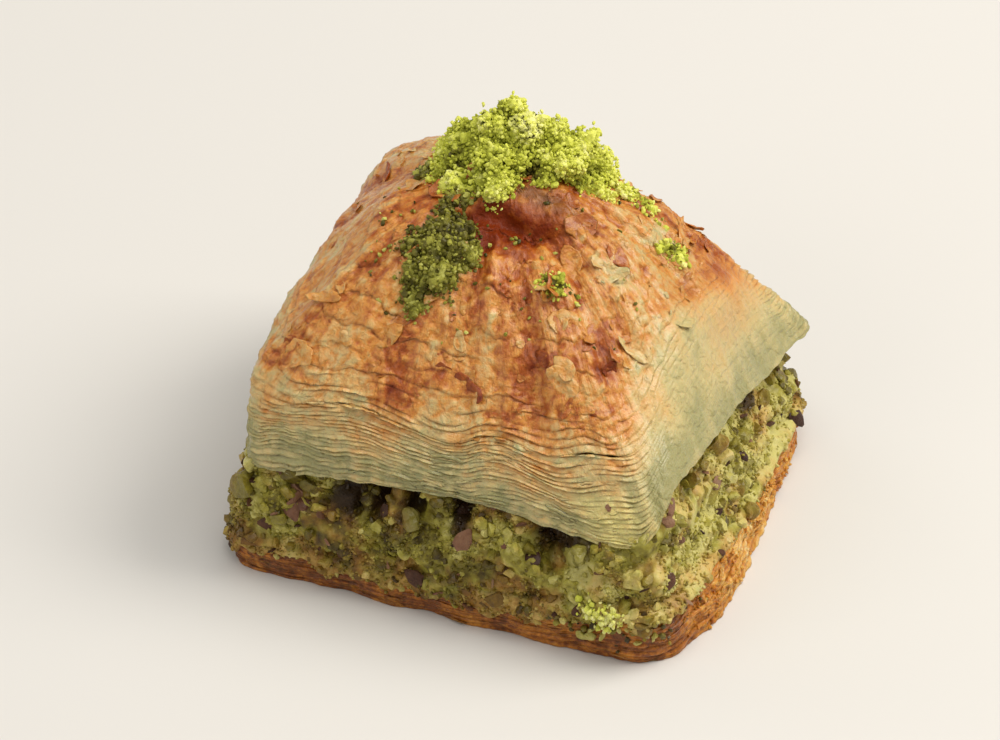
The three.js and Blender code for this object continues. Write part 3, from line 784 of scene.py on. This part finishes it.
# Hollows under the upper sheets: (p at the middle, half width in p, depth in mm).
HOLLOWS = [
    (0.272, 0.034, 4.6), (0.345, 0.022, 3.8), (0.42, 0.02, 2.6), (0.55, 0.026, 2.8), (0.795, 0.045, 4.2),
    (1.7, 0.05, 3.8), (1.82, 0.03, 2.8), (2.4, 0.1, 2.8), (2.75, 0.05, 3), (3.3, 0.08, 2.8), (3.7, 0.05, 3),
]
# Its lower edge, smeared a little way down over the base's sheets: share of the way, mm out.
SMEARED_EDGE = [(1, -0.6), (1.02, 0.3), (0.7, 0.55), (0.3, 0.55), (0, 0.25)]
# Soft patches on its side: how much, p and half width in p, height and half height. They are
# scraps of skin, large kernels, a drift of fallen crumbs and what it covers, and pale meal.
SCRAPS = [
    (2, at, 0.022, high, 1.6)
    for at, high in ((1.13, 17.6), (0.56, 13), (0.17, 12), (1.42, 12.5), (2.3, 12), (3.5, 13))
]
LARGE_KERNELS = [(1, 0.11, 0.1, 14, 2.6), (1, 0.81, 0.03, 12, 1.2)]
DRIFT = [(0.7, 0.87, 0.035, 7, 2.2)]
DRIFT_COVER = [(1, 0.87, 0.04, 6.6, 2.4)]
PALE_MEAL = [(0.36, 0.98, 0.16, 8.5, 4.5), (0.396, 1.54, 0.14, 8.8, 2.6)]


def filling_side(p, up, out):
    x, y = in_plan(p, SQUARENESS, FILLING_CORNERS)
    swell = 0.9 * np.sin(math.pi * np.minimum(1, 0.18 + 0.8 * up)) - 1.5 * up
    lumps = 0.5 * wave(p, 9 + 5 * up) + 0.35 * np.sin(23 * p + 9 * up)
    # On the right it spreads out to the base's edge.
    spread = 1.7 * near(p, 1.5, 0.5, 0.2) * (1 - up) ** 2
    pull = 1 + (swell + lumps + out + spread) / np.hypot(x, y)
    height = lerp(base_top(p, 1) + 0.35, edge_height(p) - 0.1, up)
    return np.stack([x * pull, y * pull, height], axis=-1)


def side_patches(p, height, patches):
    """The sum of soft patches on the side of the filling."""
    return sum(
        much * bell(p, at, half) * bell(height, high, tall) for much, at, half, high, tall in patches
    )


def packed_meal():
    p = rim_steps(MEAL_POINTS)
    hollow = np.max([depth * bell(p, middle, half) for middle, half, depth in HOLLOWS], axis=0)
    right = near(p, 1.5, 0.52, 0.2)  # where the knife has smeared it
    lowest = 0.5 + 0.12 * grain(rim_points(p, 3), 5, 64) + 0.1 * right  # where the hollows begin
    up = np.arange(MEAL_RINGS)[:, None] / (MEAL_RINGS - 1)
    sink = hollow * smooth((up - lowest) / 0.22) + 0.5
    grid = filling_side(p, up, -0.45 - sink)
    height = grid[..., 2]
    smear = grain(rim_points(p, 0.6 * height), 1.2, 56)
    lumps = 0.55 * grain(grid, 2.8, 51) + 0.22 * grain(rim_points(p, 1.6 * height), 1.9, 50)
    lumps = lumps * (1 - 0.5 * right) + 0.1 * smear * right
    lumps += (0.3 * grain(grid, 1.2, 52) + 0.12 * grain(grid, 0.5, 53)) * (1 - 0.2 * right)
    lumps += side_patches(p, height, DRIFT)
    patchy = smooth(0.62 + 1.1 * grain(grid, 4.5, 60) + 0.3 * right)
    grid += outward(grid) * lumps[..., None]
    rim = rim_points(p, 0)
    drop = np.clip(1.8 + 1.5 * grain(rim, 4, 57) + 0.8 * grain(rim, 1.4, 58), 0.3, 3.4)
    drop = lerp(drop, 0.4 + 0.25 * drop, right)
    low = [grid[0] * [0.5, 0.5, 1]]
    low[0][:, 2] = BASE_THICK
    for share, out in SMEARED_EDGE:
        rough = 0.15 * grain(rim + [0, 0, 2 * share], 1.2, 59)
        ring = base_side(p, 1 - share * drop / base_top(p, 1), out + 0.4 * right + rough)
        ring[:, 2] += 0.35 * (share == 0)
        low.append(ring)
    high = [grid[-1] * [share, share, 1] for share in (0.93, 0.5)]
    high[1][:, 2] = FILLING_TOP + 0.1
    grid = np.concatenate([low, grid, high])
    mesh = closed_mesh("packed_nut_meal", [0, 0, BASE_THICK], grid, [0, 0, FILLING_TOP + 0.1])

    # How thickly the chopped nuts lie, from the smeared edge up: all, the meal, the coarse ones.
    filled = np.clip(1.15 - 0.6 * sink, 0.02, 1)
    cover = np.maximum(filled, 0.45) * (1 - 0.25 * right)
    coarse = filled * lerp(0.2, 1, smooth((up - 0.35) / 0.3)) * (1 - 0.5 * right)
    below = np.array([0, 0, 0.6, 1, 1, 1])[:, None] * (1 - 0.6 * right)
    for name, share, side in (("cover", 1, cover), ("meal", 0.6, cover * patchy), ("coarse", 0.2, coarse)):
        paint(mesh, name, capped(np.concatenate([share * below, side, 0 * below[:2]])))
    bands = 0.14 + 0.28 * np.concatenate([np.repeat(smear[:1], len(low), axis=0), smear, smear[-2:]])
    colour_meal(mesh, p, grid[..., 2], right, hollow, bands)
    return mesh


def colour_meal(mesh, p, height, right, hollow, bands):
    """Paints where it is pale, dark or soaked, painted shade in the hollows, and where the larger scraps
    lie.
    """
    def everywhere(values):
        return capped(np.broadcast_to(values, height.shape))

    drift = side_patches(p, height, DRIFT_COVER)
    keep_values(mesh, shard=np.clip(side_patches(p, height, SCRAPS) - 0.6, 0, 1),
                bright=np.clip(1.5 * drift - 0.3, 0, 1), kernels=side_patches(p, height, LARGE_KERNELS))
    points = mesh_points(mesh)
    shade = 0.2 * grain(points, 7, 61) + 0.28 * grain(points, 3, 54) + 0.2 * grain(points, 0.9, 55)
    ends = 0.16 * smooth((np.abs(p - 1.45) - 0.1) / 0.2) * (1 + (p > 1.5))
    shade += everywhere(0.52 + 0.14 * bell(p, 0.13, 0.13) + right * (ends + 0.05 + bands) + 0.4 * drift
                        + side_patches(p, height, PALE_MEAL))
    # In the hollows under the upper sheets the tint is darkened and near black is laid over it: painted
    # shade.
    depth = everywhere(hollow) * smooth((points[:, 2] - 10.5 - 1.5 * everywhere(right)) / 3)
    paint(mesh, "tint", shade - 0.18 * depth)
    paint(mesh, "gap", np.clip(0.45 * depth - 0.1, 0, 0.9))
    soaked = smooth((8.5 - points[:, 2] + 2.2 * grain(points, 4, 62)) / 3.5)
    paint(mesh, "soak", soaked * (1 - 0.4 * everywhere(right)) * (1 - capped(drift)))


def nut_flesh(name, stops, roughness, coat, syrup=0.0):
    """Chopped pistachio: each piece has its own tint, mottled, and damp with syrup, and near black with
    painted shade in the hollows.
    """
    material, tree, shader = new_material(name, {
        "Roughness": roughness, "Specular IOR Level": 0.2, "Coat Weight": coat, "Coat Roughness": 0.2,
        "Subsurface Weight": 0.12, "Subsurface Radius": (0.7, 0.8, 0.25), "Subsurface Scale": 0.0008,
    })
    tone = mixed(tree, attribute(tree, "tint"), pattern(tree, 0.8, 4, roughness=0.7), 0.6)
    tone = mixed(tree, tone, pattern(tree, 4, 2), 0.35)
    color = ramp(tree, tone, stops)
    if syrup:
        soaked = scaled(tree, attribute(tree, "soak"), 0.13, pattern(tree, 4.5, 3))
        soaked = ramp(tree, soaked, [(0.48, (0, 0, 0)), (0.66, (syrup, syrup, syrup))])
        caramel = ramp(tree, tone, [
            (0.1, (0.07, 0.026, 0.005)), (0.5, (0.30, 0.135, 0.022)), (0.9, (0.60, 0.38, 0.11)),
        ])
        color = laid_over(tree, color, soaked, caramel)
        # Painted shade: near black where the meal lies hollow.
        color = laid_over(tree, color, attribute(tree, "gap"), (0.034, 0.016, 0.005, 1))
    tree.links.new(color, shader.inputs["Base Color"])
    bumps(tree, shader, [(pattern(tree, 0.8, 3), 0.15), (pattern(tree, 0.25, 3), 0.1)])
    return material


NUT_STOPS = [
    (0.08, (0.050, 0.032, 0.004)), (0.3, (0.125, 0.095, 0.010)), (0.5, (0.235, 0.195, 0.024)),
    (0.7, (0.37, 0.325, 0.052)), (0.95, (0.58, 0.52, 0.17)),
]
meal_material = nut_flesh("packed_meal", NUT_STOPS, 0.45, 0.15, 0.85)
meal_piece = dress(packed_meal(), meal_material, "pistachio_filling")

# ---------------------------------------------------------------- pistachio filling: chopped nuts
# Kernels chopped coarse and fine, pale and bright green flesh broken to flat faces. They stick
# to the meal by the syrup, and some have spilled over the base's sheets.
def broken_piece(name, seed, roundness, cuts, squash=(1, 1, 1), rough=0.22):
    """A broken bit of kernel, one unit long: a lump cut by flat faces."""
    random = np.random.default_rng(seed)
    shape = bmesh.new()
    bmesh.ops.create_icosphere(shape, subdivisions=roundness, radius=0.5)
    points = np.array([v.co for v in shape.verts])
    points *= 1 + rough * grain(points, 0.45, seed)[:, None]
    for _ in range(cuts):
        face = random.normal(size=3)
        face /= np.linalg.norm(face)
        over = np.maximum(points @ face - random.uniform(0.22, 0.42), 0)
        points -= over[:, None] * face
    points *= squash
    for vert, point in zip(shape.verts, points):
        vert.co = point
    mesh = bpy.data.meshes.new(name)
    shape.to_mesh(mesh)
    shape.free()
    return bpy.data.objects.new(name, mesh)


def broken_pieces(name, count, seed, *form):
    """A collection of broken bits, for strewing."""
    return collection_of(name, [broken_piece(f"{name}_{k}", seed + k, *form) for k in range(count)])


def collection_of(name, objects):
    group = bpy.data.collections.new(name)
    for item in objects:
        group.objects.link(item)
    return group


def strewing():
    """Geometry Nodes that strew pieces over a surface, sunk or lifted, turned and tinted."""
    tree = bpy.data.node_groups.new("strewn_pieces", "GeometryNodeTree")
    for kind, names in (
        ("Geometry", "Surface"), ("Collection", "Pieces"), ("String", "Cover Along"),
        ("Float", "Spacing Crowding Smallest Largest Skew Sink Lift Tilt Swing Contrast"),
        ("Int", "Seed"), ("Material", "Material"),
    ):
        for name in names.split():
            tree.interface.new_socket(name, in_out="INPUT", socket_type="NodeSocket" + kind)
    tree.interface.new_socket("Strewn", in_out="OUTPUT", socket_type="NodeSocketGeometry")
    given = tree.nodes.new("NodeGroupInput").outputs

    def named(name, kind="FLOAT"):
        node = add_node(tree, "GeometryNodeInputNamedAttribute", {"Name": name}, data_type=kind)
        return node.outputs["Attribute"]

    def maths(operation, a, b):
        return add_node(tree, "ShaderNodeMath", {0: a, 1: b}, operation=operation).outputs[0]

    def stretched(vector, scale):
        inputs = {0: vector, "Scale": scale}
        return add_node(tree, "ShaderNodeVectorMath", inputs, operation="SCALE").outputs["Vector"]

    def random_value(kind, low, high, salt):
        first, last, result = {"FLOAT": (2, 3, 1), "FLOAT_VECTOR": (0, 1, 0), "INT": (4, 5, 2)}[kind]
        inputs = {first: low, last: high, "Seed": maths("ADD", given["Seed"], salt)}
        return add_node(tree, "FunctionNodeRandomValue", inputs, data_type=kind).outputs[result]

    spots = add_node(tree, "GeometryNodeDistributePointsOnFaces", {
        "Mesh": given["Surface"], "Distance Min": given["Spacing"], "Density Max": given["Crowding"],
        "Density Factor": named(given["Cover"]), "Seed": given["Seed"],
    }, distribute_method="POISSON").outputs
    lift = random_value("FLOAT", maths("MULTIPLY", given["Sink"], -1), given["Lift"], 1)
    placed = add_node(tree, "GeometryNodeSetPosition", {
        "Geometry": spots["Points"], "Offset": stretched(spots["Normal"], lift),
    })
    tilt = add_node(tree, "ShaderNodeCombineXYZ", {
        0: given["Tilt"], 1: given["Tilt"], 2: given["Swing"],
    }).outputs[0]
    turn = random_value("FLOAT_VECTOR", stretched(tilt, -1), tilt, 3)
    laid = add_node(tree, "FunctionNodeAlignRotationToVector", {
        "Rotation": spots["Rotation"], "Vector": named(given["Along"], "FLOAT_VECTOR"),
    }, axis="X", pivot_axis="Z")
    turned = add_node(tree, "FunctionNodeRotateRotation", {
        "Rotation": laid.outputs["Rotation"],
        "Rotate By": add_node(tree, "FunctionNodeEulerToRotation", {"Euler": turn}).outputs[0],
    }, rotation_space="LOCAL")
    grown = maths("POWER", random_value("FLOAT", 0.0, 1.0, 4), given["Skew"])
    size = maths("MULTIPLY", grown, maths("SUBTRACT", given["Largest"], given["Smallest"]))
    pieces = add_node(tree, "GeometryNodeCollectionInfo", {
        "Collection": given["Pieces"], "Separate Children": True, "Reset Children": True,
    })
    instances = add_node(tree, "GeometryNodeInstanceOnPoints", {
        "Points": placed.outputs["Geometry"], "Instance": pieces.outputs[0], "Pick Instance": True,
        "Instance Index": random_value("INT", 0, 1000, 5), "Rotation": turned.outputs["Rotation"],
        "Scale": maths("ADD", size, given["Smallest"]),
    })
    own = add_node(tree, "ShaderNodeMix", {
        "Factor": given["Contrast"], 2: named("tint"), 3: random_value("FLOAT", 0.0, 1.0, 6),
    }, data_type="FLOAT")
    tinted = add_node(tree, "GeometryNodeStoreNamedAttribute", {
        "Geometry": instances.outputs["Instances"], "Name": "tint", "Value": own.outputs["Result"],
    }, data_type="FLOAT", domain="INSTANCE")
    real = add_node(tree, "GeometryNodeRealizeInstances", {"Geometry": tinted.outputs["Geometry"]})
    finished = add_node(tree, "GeometryNodeSetMaterial", {
        "Geometry": real.outputs["Geometry"], "Material": given["Material"],
    })
    out = tree.nodes.new("NodeGroupOutput")
    tree.links.new(finished.outputs["Geometry"], out.inputs["Strewn"])
    return tree


strew_tree = strewing()


def strew(name, onto, material, **inputs):
    """Strews pieces over a dressed piece and keeps them as one plain mesh. Lengths are in mm."""
    carrier = bpy.data.objects.new(name, onto.data)
    scene.collection.objects.link(carrier)
    modifier = carrier.modifiers.new("strewn", "NODES")
    modifier.node_group = strew_tree
    lengths = ("Spacing", "Smallest", "Largest", "Sink", "Lift")
    given = {
        "Cover": "cover", "Crowding": 3e6 / inputs["Spacing"] ** 2, "Tilt": math.pi,
        "Swing": math.pi, "Along": "none", "Contrast": 1.0, **inputs, "Material": material,
    }
    for item in strew_tree.interface.items_tree:
        if item.in_out == "INPUT" and item.name in given:
            value = given[item.name]
            modifier[item.identifier] = value / 1000 if item.name in lengths else value
    evaluated = carrier.evaluated_get(bpy.context.evaluated_depsgraph_get())
    mesh = bpy.data.meshes.new_from_object(evaluated)
    mesh.name = name
    bpy.data.objects.remove(carrier)
    dress(mesh, material, node_of[onto.name])


chunks = broken_pieces("chunk", 6, 0, 3, 3, (1, 0.8, 0.75), 0.4)
bits = broken_pieces("bit", 8, 20, 2, 5, (1, 0.8, 0.65), 0.35)
grit = broken_pieces("grit", 6, 60, 1, 2, (1, 0.8, 0.7), 0.4)
skins = broken_pieces("skin", 5, 40, 2, 2, (1, 0.7, 0.22))

nut_green = nut_flesh("chopped_pistachio", NUT_STOPS, 0.4, 0.25, 0.6)
strew("coarse_nuts", meal_piece, nut_green, Pieces=chunks, Cover="coarse", Spacing=2.0,
      Smallest=1.6, Largest=3.6, Skew=1.8, Sink=0.9, Lift=0.1, Contrast=0.6, Seed=3)
strew("fine_nuts", meal_piece, nut_green, Pieces=bits, Spacing=0.95, Smallest=0.8, Largest=2.2,
      Skew=1.8, Sink=0.6, Lift=0.05, Contrast=0.6, Seed=8)
strew("nut_meal", meal_piece, nut_green, Pieces=grit, Cover="meal", Spacing=0.36, Smallest=0.3,
      Largest=0.8, Skew=1.5, Sink=0.1, Lift=0.15, Contrast=0.35, Seed=9)

# ---------------------------------------------------------------- pistachio filling: skins
# Dry purple-brown scraps of the kernels' skins, thin and bent, among the nuts. One has stuck to
# the front of the cut sheets in a drop of syrup. Large kernels lie over them in two places, and
# the nuts that have spilled on the base are strewn last.
nut_skin = nut_flesh("pistachio_skin", [
    (0.15, (0.045, 0.017, 0.008)), (0.45, (0.12, 0.050, 0.025)), (0.7, (0.22, 0.105, 0.055)),
    (0.95, (0.29, 0.165, 0.09)),
], 0.5, 0.12)
strew("nut_skins", meal_piece, nut_skin, Pieces=skins, Spacing=3.0, Smallest=1.2, Largest=2.8,
      Skew=1.5, Sink=0.35, Lift=0.2, Tilt=0.9, Seed=5)
strew("skin_shards", meal_piece, nut_skin, Pieces=skins, Cover="shard", Spacing=1.3, Smallest=1.8,
      Largest=3.2, Skew=1.2, Sink=0.1, Lift=0.3, Tilt=0.6, Contrast=0.4, Seed=6)
strew("large_nuts", meal_piece, nut_green, Pieces=chunks, Cover="kernels", Spacing=2.0,
      Smallest=2.4, Largest=4.0, Skew=1.0, Sink=0.9, Lift=0.3, Contrast=0.7, Seed=4)
strew("syrup_spot", side_piece, nut_skin, Pieces=skins, Cover="spot", Spacing=0.6, Smallest=0.9,
      Largest=1.4, Skew=1.0, Sink=0, Lift=0.1, Tilt=0.3, Seed=7)
strew("spilled_nuts", base_piece, nut_green, Pieces=bits, Spacing=0.8, Smallest=0.6, Largest=1.7,
      Skew=1.6, Sink=0.1, Lift=0.4, Seed=14)

# ---------------------------------------------------------------- crumb heap
# Finely ground pistachio, dry and bright, dropped on the crown in a loose clotted heap. A little
# has fallen against the filling near the front right corner.
HEAP = ((-3.1, 9.4), (10.4, 7.0), 0.42, 4.0)  # plan centre, half length and width, turn, height
# Peaks and dips on it: mm up, plan place, half width each way.
PEAKS = [
    (2.8, -10.4, 9.4, 2.2, 2.2), (3.3, -5.6, 10.4, 2.4, 2.4), (3.8, 3.4, 12.6, 2.4, 2.4),
    (-2.4, -0.7, 4.8, 1.3, 1.3), (-2, -0.9, 7.4, 1.3, 1.3),
]
CLOTS = [(0.5, 3.8), (0.3, 1.8), (0.2, 1.1)]  # how much, and mm across
# Darker places in the crumbs, oily clumps and painted shade in the dips between the heap's lobes: how much,
# plan place, half width, half depth.
DARKER = [
    (0.5, -5.8, -3.4, 2.8, 2.8), (0.45, -0.7, 5.4, 1.0, 2.6), (0.45, -9.9, 5.3, 1.3, 1.3),
    (0.35, 6.4, -5, 4, 3), (0.3, 15, 9.2, 3, 3), (0.4, -7, -0.8, 2.4, 1.8),
]

crust_surface = BVHTree.FromObject(crust_piece, bpy.context.evaluated_depsgraph_get())


def crust_height(x, y):
    """The crust's height in mm over a plan point, found by dropping a line on it."""
    above = Vector(((x + SHIFT[0]) / 1000, (y + SHIFT[1]) / 1000, 0.1))
    hit = crust_surface.ray_cast(above, Vector((0, 0, -1)))[0]
    return hit.z * 1000 if hit else FILLING_TOP


def clots(points, size, seed):
    """1 at the middle of a clot and 0 between clots, which are about size mm across."""
    spots = (np.asarray(points) / size + 17.3 * seed).reshape(-1, 3).tolist()
    away = np.array([noise.voronoi(s)[0][0] for s in spots]).reshape(points.shape[:-1])
    return 1 - np.minimum(1, away / 0.75)


def mound(name, centre, radius, turned, height, lumpy, points, rings, seed, peaks=()):
    """A lumpy mound on the crust, which the crumbs then cover."""
    turn = 2 * math.pi * np.arange(points) / points
    c, s = math.cos(turned), math.sin(turned)
    out = np.stack([np.cos(turn), np.sin(turn), 0 * turn], axis=-1)
    torn = 1 + 0.35 * grain(1.3 * out, 1, seed) + 0.3 * grain(3.5 * out, 1, seed)
    layers = []
    for k in range(rings + 1):
        share = 1 - 0.98 * k / rings
        a, b = radius[0] * share * torn * out[:, 0], radius[1] * share * torn * out[:, 1]
        x, y = centre[0] + a * c - b * s, centre[1] + a * s + b * c
        z = np.array([crust_height(*at) for at in zip(x, y)])
        level = np.stack([x, y, 0 * x], axis=-1)
        rise = height * (1 + 0.2 * grain(level, 5, seed))
        rise = rise * (1 - 0.35 * smooth((y - x * c * s - 12) / 4)) + patchwork(level, peaks)
        layers.append(np.stack([x, y, z + rise * (1 - share ** 3.6) - 0.4], axis=-1))
    grid = np.array(layers)
    fade = np.minimum(1, np.linspace(0.2, 4, len(grid)))[:, None]
    clotted = sum(share * clots(grid, size, seed + k) for k, (share, size) in enumerate(CLOTS))
    lumps = lumpy * (4.8 * clotted - 1.5 + 0.2 * grain(grid, 0.9, seed + 3))
    # Near its top the lumps run into their mean, and all of them upwards.
    apart = np.minimum(1, np.linspace(1, 0.02, len(grid)) / 0.14)[:, None]
    lumps = lerp(lumps[-9:].mean(), lumps, apart)
    away = lerp(np.array([0, 0, 1.0]), outward(grid), apart[..., None])
    grid += away * (fade * lumps)[..., None]
    grid = np.concatenate([grid[:1] - [0, 0, 2], grid])
    mesh = closed_mesh(name, grid[0].mean(axis=0), grid, grid[-1].mean(axis=0))
    cover = np.ones(grid.shape[:2])
    cover[0] = 0
    keep_values(mesh, cover=cover)
    place = mesh_points(mesh)
    # The tint is painted light on the clots and painted shade between them, darker still in the darker
    # places.
    tint = 1.8 * capped(np.concatenate([clotted[:1], clotted])) - 0.12 + 0.15 * grain(place, 1.2, 63)
    paint(mesh, "tint", np.clip(tint - patchwork(place - SHIFT, DARKER), 0, 0.8))
    return mesh


crumb_green = nut_flesh("ground_pistachio", [
    (0.05, (0.10, 0.085, 0.009)), (0.3, (0.345, 0.36, 0.03)), (0.5, (0.61, 0.635, 0.075)),
    (0.75, (0.76, 0.77, 0.15)), (0.95, (0.86, 0.84, 0.33)),
], 0.6, 0.05)
strew("bright_crumbs", meal_piece, crumb_green, Pieces=bits, Cover="bright", Spacing=0.26,
      Smallest=0.4, Largest=1.2, Skew=1.8, Sink=0.2, Lift=0.8, Contrast=0.4, Seed=15)
crumb_oily = nut_flesh("oily_crumbs", [
    (0.05, (0.055, 0.045, 0.005)), (0.3, (0.12, 0.105, 0.012)), (0.5, (0.22, 0.205, 0.024)),
    (0.75, (0.37, 0.36, 0.055)), (0.95, (0.56, 0.55, 0.14)),
], 0.5, 0.15)
heap_mesh = mound("heap_core", *HEAP, lumpy=1, points=240, rings=66, seed=61, peaks=PEAKS)
heap_piece = dress(heap_mesh, crumb_green, "pistachio_crumbs")
strew("heap_crumbs", heap_piece, crumb_green, Pieces=bits, Spacing=0.72, Smallest=0.5, Largest=1.7,
      Skew=2.4, Sink=0.4, Lift=0.4, Contrast=0.3, Seed=11)
strew("heap_meal", heap_piece, crumb_green, Pieces=grit, Spacing=0.3, Smallest=0.3, Largest=0.85,
      Skew=1.5, Sink=0.1, Lift=0.6, Contrast=0.35, Seed=12)

# ---------------------------------------------------------------- clumps and stray crumbs
# The same ground pistachio, fallen from the heap and stuck to the buttered crust: clumps, some
# of them oily and dark, and single crumbs between them.
# Plan centre, half length and width, turn, height, what its crumbs are like.
CLUMPS = [
    ((-7.5, -6.8), (4.7, 4.4), 1.2, 1.5, crumb_oily), ((-7.9, -1.0), (2.4, 1.7), 1.3, 0.7, crumb_oily),
    ((6.4, -5.0), (2.9, 1.1), 0.2, 0.8, crumb_green), ((15.0, 9.2), (1.7, 1.2), 0.8, 0.5, crumb_green),
    ((9.6, 12.6), (4.2, 1.4), -0.2, 0.6, crumb_green), ((-13.0, 6.0), (2.4, 2.0), 0.5, 0.5, crumb_oily),
    ((-8.0, 3.0), (2.8, 1.6), 0.2, 1.1, crumb_green),
]
LUMPY_HEIGHT = 1.7  # mm, from which a clump would be as lumpy as the heap
for k, (centre, radius, turned, height, crumbs) in enumerate(CLUMPS):
    lumpy = min(1, height / LUMPY_HEIGHT)
    clump_mesh = mound(f"clump_{k}", centre, radius, turned, height, lumpy, 64, 18, 70 + k)
    clump_piece = dress(clump_mesh, crumbs, "top_pastry")
    strew(f"clump_{k}_crumbs", clump_piece, crumbs, Pieces=bits, Spacing=0.62, Smallest=0.6,
          Largest=1.4, Skew=1.8, Sink=0.3, Lift=0.35, Contrast=0.6, Seed=21 + k)
    strew(f"clump_{k}_meal", clump_piece, crumbs, Pieces=grit, Spacing=0.42, Smallest=0.35,
          Largest=0.8, Skew=1.4, Sink=0.1, Lift=0.5, Contrast=0.6, Seed=31 + k)
strew("stray_crumbs", crust_piece, crumb_oily, Pieces=grit, Cover="stray", Spacing=0.5,
      Smallest=0.35, Largest=0.9, Skew=1.5, Sink=0.05, Lift=0.15, Seed=41)

# ---------------------------------------------------------------- torn flakes
# Shards of the topmost sheet, which has cracked as it baked: thin, curled and crisp. They lie
# loose on the crust or hang on by one edge.
FLAKE_THICK = 0.028  # of its length
FLAKE_POINTS = 16


def flake(name, seed):
    """A thin curled scrap with a torn outline, one unit long."""
    random = np.random.default_rng(seed)
    turn = np.arange(FLAKE_POINTS) + random.uniform(-0.35, 0.35, FLAKE_POINTS)
    turn = 2 * math.pi * turn / FLAKE_POINTS
    torn = 0.5 * (1 + 0.14 * np.sin(2 * turn + seed) + 0.12 * np.sin(3 * turn + 2.3 * seed))
    torn *= 1 + random.uniform(-0.1, 0.06, FLAKE_POINTS)
    slim = random.uniform(0.35, 0.8)
    rings = []
    for share, side in ((0.5, -1), (0.92, -1), (1, 0), (0.92, 1), (0.5, 1)):
        x, y = torn * share * np.cos(turn), slim * torn * share * np.sin(turn)
        curl = 0.3 * x ** 2 - 0.2 * x * y + 0.12 * grain(np.stack([x, y, 0 * x], axis=-1), 0.4, seed)
        rings.append(np.stack([x, y, curl + FLAKE_THICK / 2 * side], axis=-1))
    middle = rings[0].mean(axis=0)
    mesh = ring_mesh(name, middle, np.array(rings), middle + [0, 0, FLAKE_THICK])
    return bpy.data.objects.new(name, mesh)


flakes = collection_of("flakes", [flake(f"flake_{k}", 80 + k) for k in range(7)])
strew("torn_flakes", crust_piece, crisp_pastry("crisp_flakes", 0.3), Pieces=flakes, Cover="flaky",
      Spacing=1.5, Smallest=0.9, Largest=4.4, Skew=1.9, Sink=0.04, Lift=0.1, Tilt=0.1, Seed=31)

# ---------------------------------------------------------------- frayed edges and base grains
# Strips that the knife has loosened from the sheets' edges, on the crisp stack and on the
# soaked base. At its right side the base has broken to soaked grains, which cling to it.
FRAY_POINTS = 9


def fray(name, seed):
    """A strip one unit long, thin as paper, pointed and a little bowed."""
    random = np.random.default_rng(seed)
    along = np.linspace(-0.5, 0.5, FRAY_POINTS)
    wide = 0.06 * (1 - (2 * along) ** 4) * (1 + 0.5 * random.uniform(-1, 1, FRAY_POINTS)) + 0.004
    sway = 0.03 * np.sin(7 * along + seed) + 0.02 * np.sin(17 * along + 2 * seed)
    bow = -0.12 * along ** 2 + 0.015 * np.cos(9 * along + seed)
    loops = [
        np.stack([along, sway + side * wide, bow + level], axis=-1)
        for side, level in ((-1, 0), (0, -0.01), (1, 0), (0, 0.01))
    ]
    ends = ([x, 0, -0.03] for x in (-0.505, 0.505))
    return bpy.data.objects.new(name, ring_mesh(name, next(ends), np.stack(loops, axis=1), next(ends)))


frays = collection_of("frays", [fray(f"fray_{k}", 90 + k) for k in range(8)])
strew("frayed_edges", side_piece, crisp_pastry("frayed_sheets", 0.12), Pieces=frays,
      Cover="frayed", Along="along", Spacing=1.1, Smallest=1.4, Largest=4.5, Skew=1.8, Sink=0.03,
      Lift=0.06, Tilt=0.07, Swing=0.1, Seed=51)
strew("base_grains", base_piece, soaked_pastry("soaked_grains"), Pieces=grit, Cover="grainy",
      Spacing=0.5, Smallest=0.35, Largest=1.1, Skew=1.6, Sink=0.1, Lift=0.12, Seed=53)
strew("frayed_base", base_piece, soaked_pastry("frayed_soaked_sheets"), Pieces=frays,
      Cover="frayed", Along="along", Spacing=1.2, Smallest=1.4, Largest=4.0, Skew=1.6, Sink=0.03,
      Lift=0.08, Tilt=0.12, Swing=0.16, Seed=52)
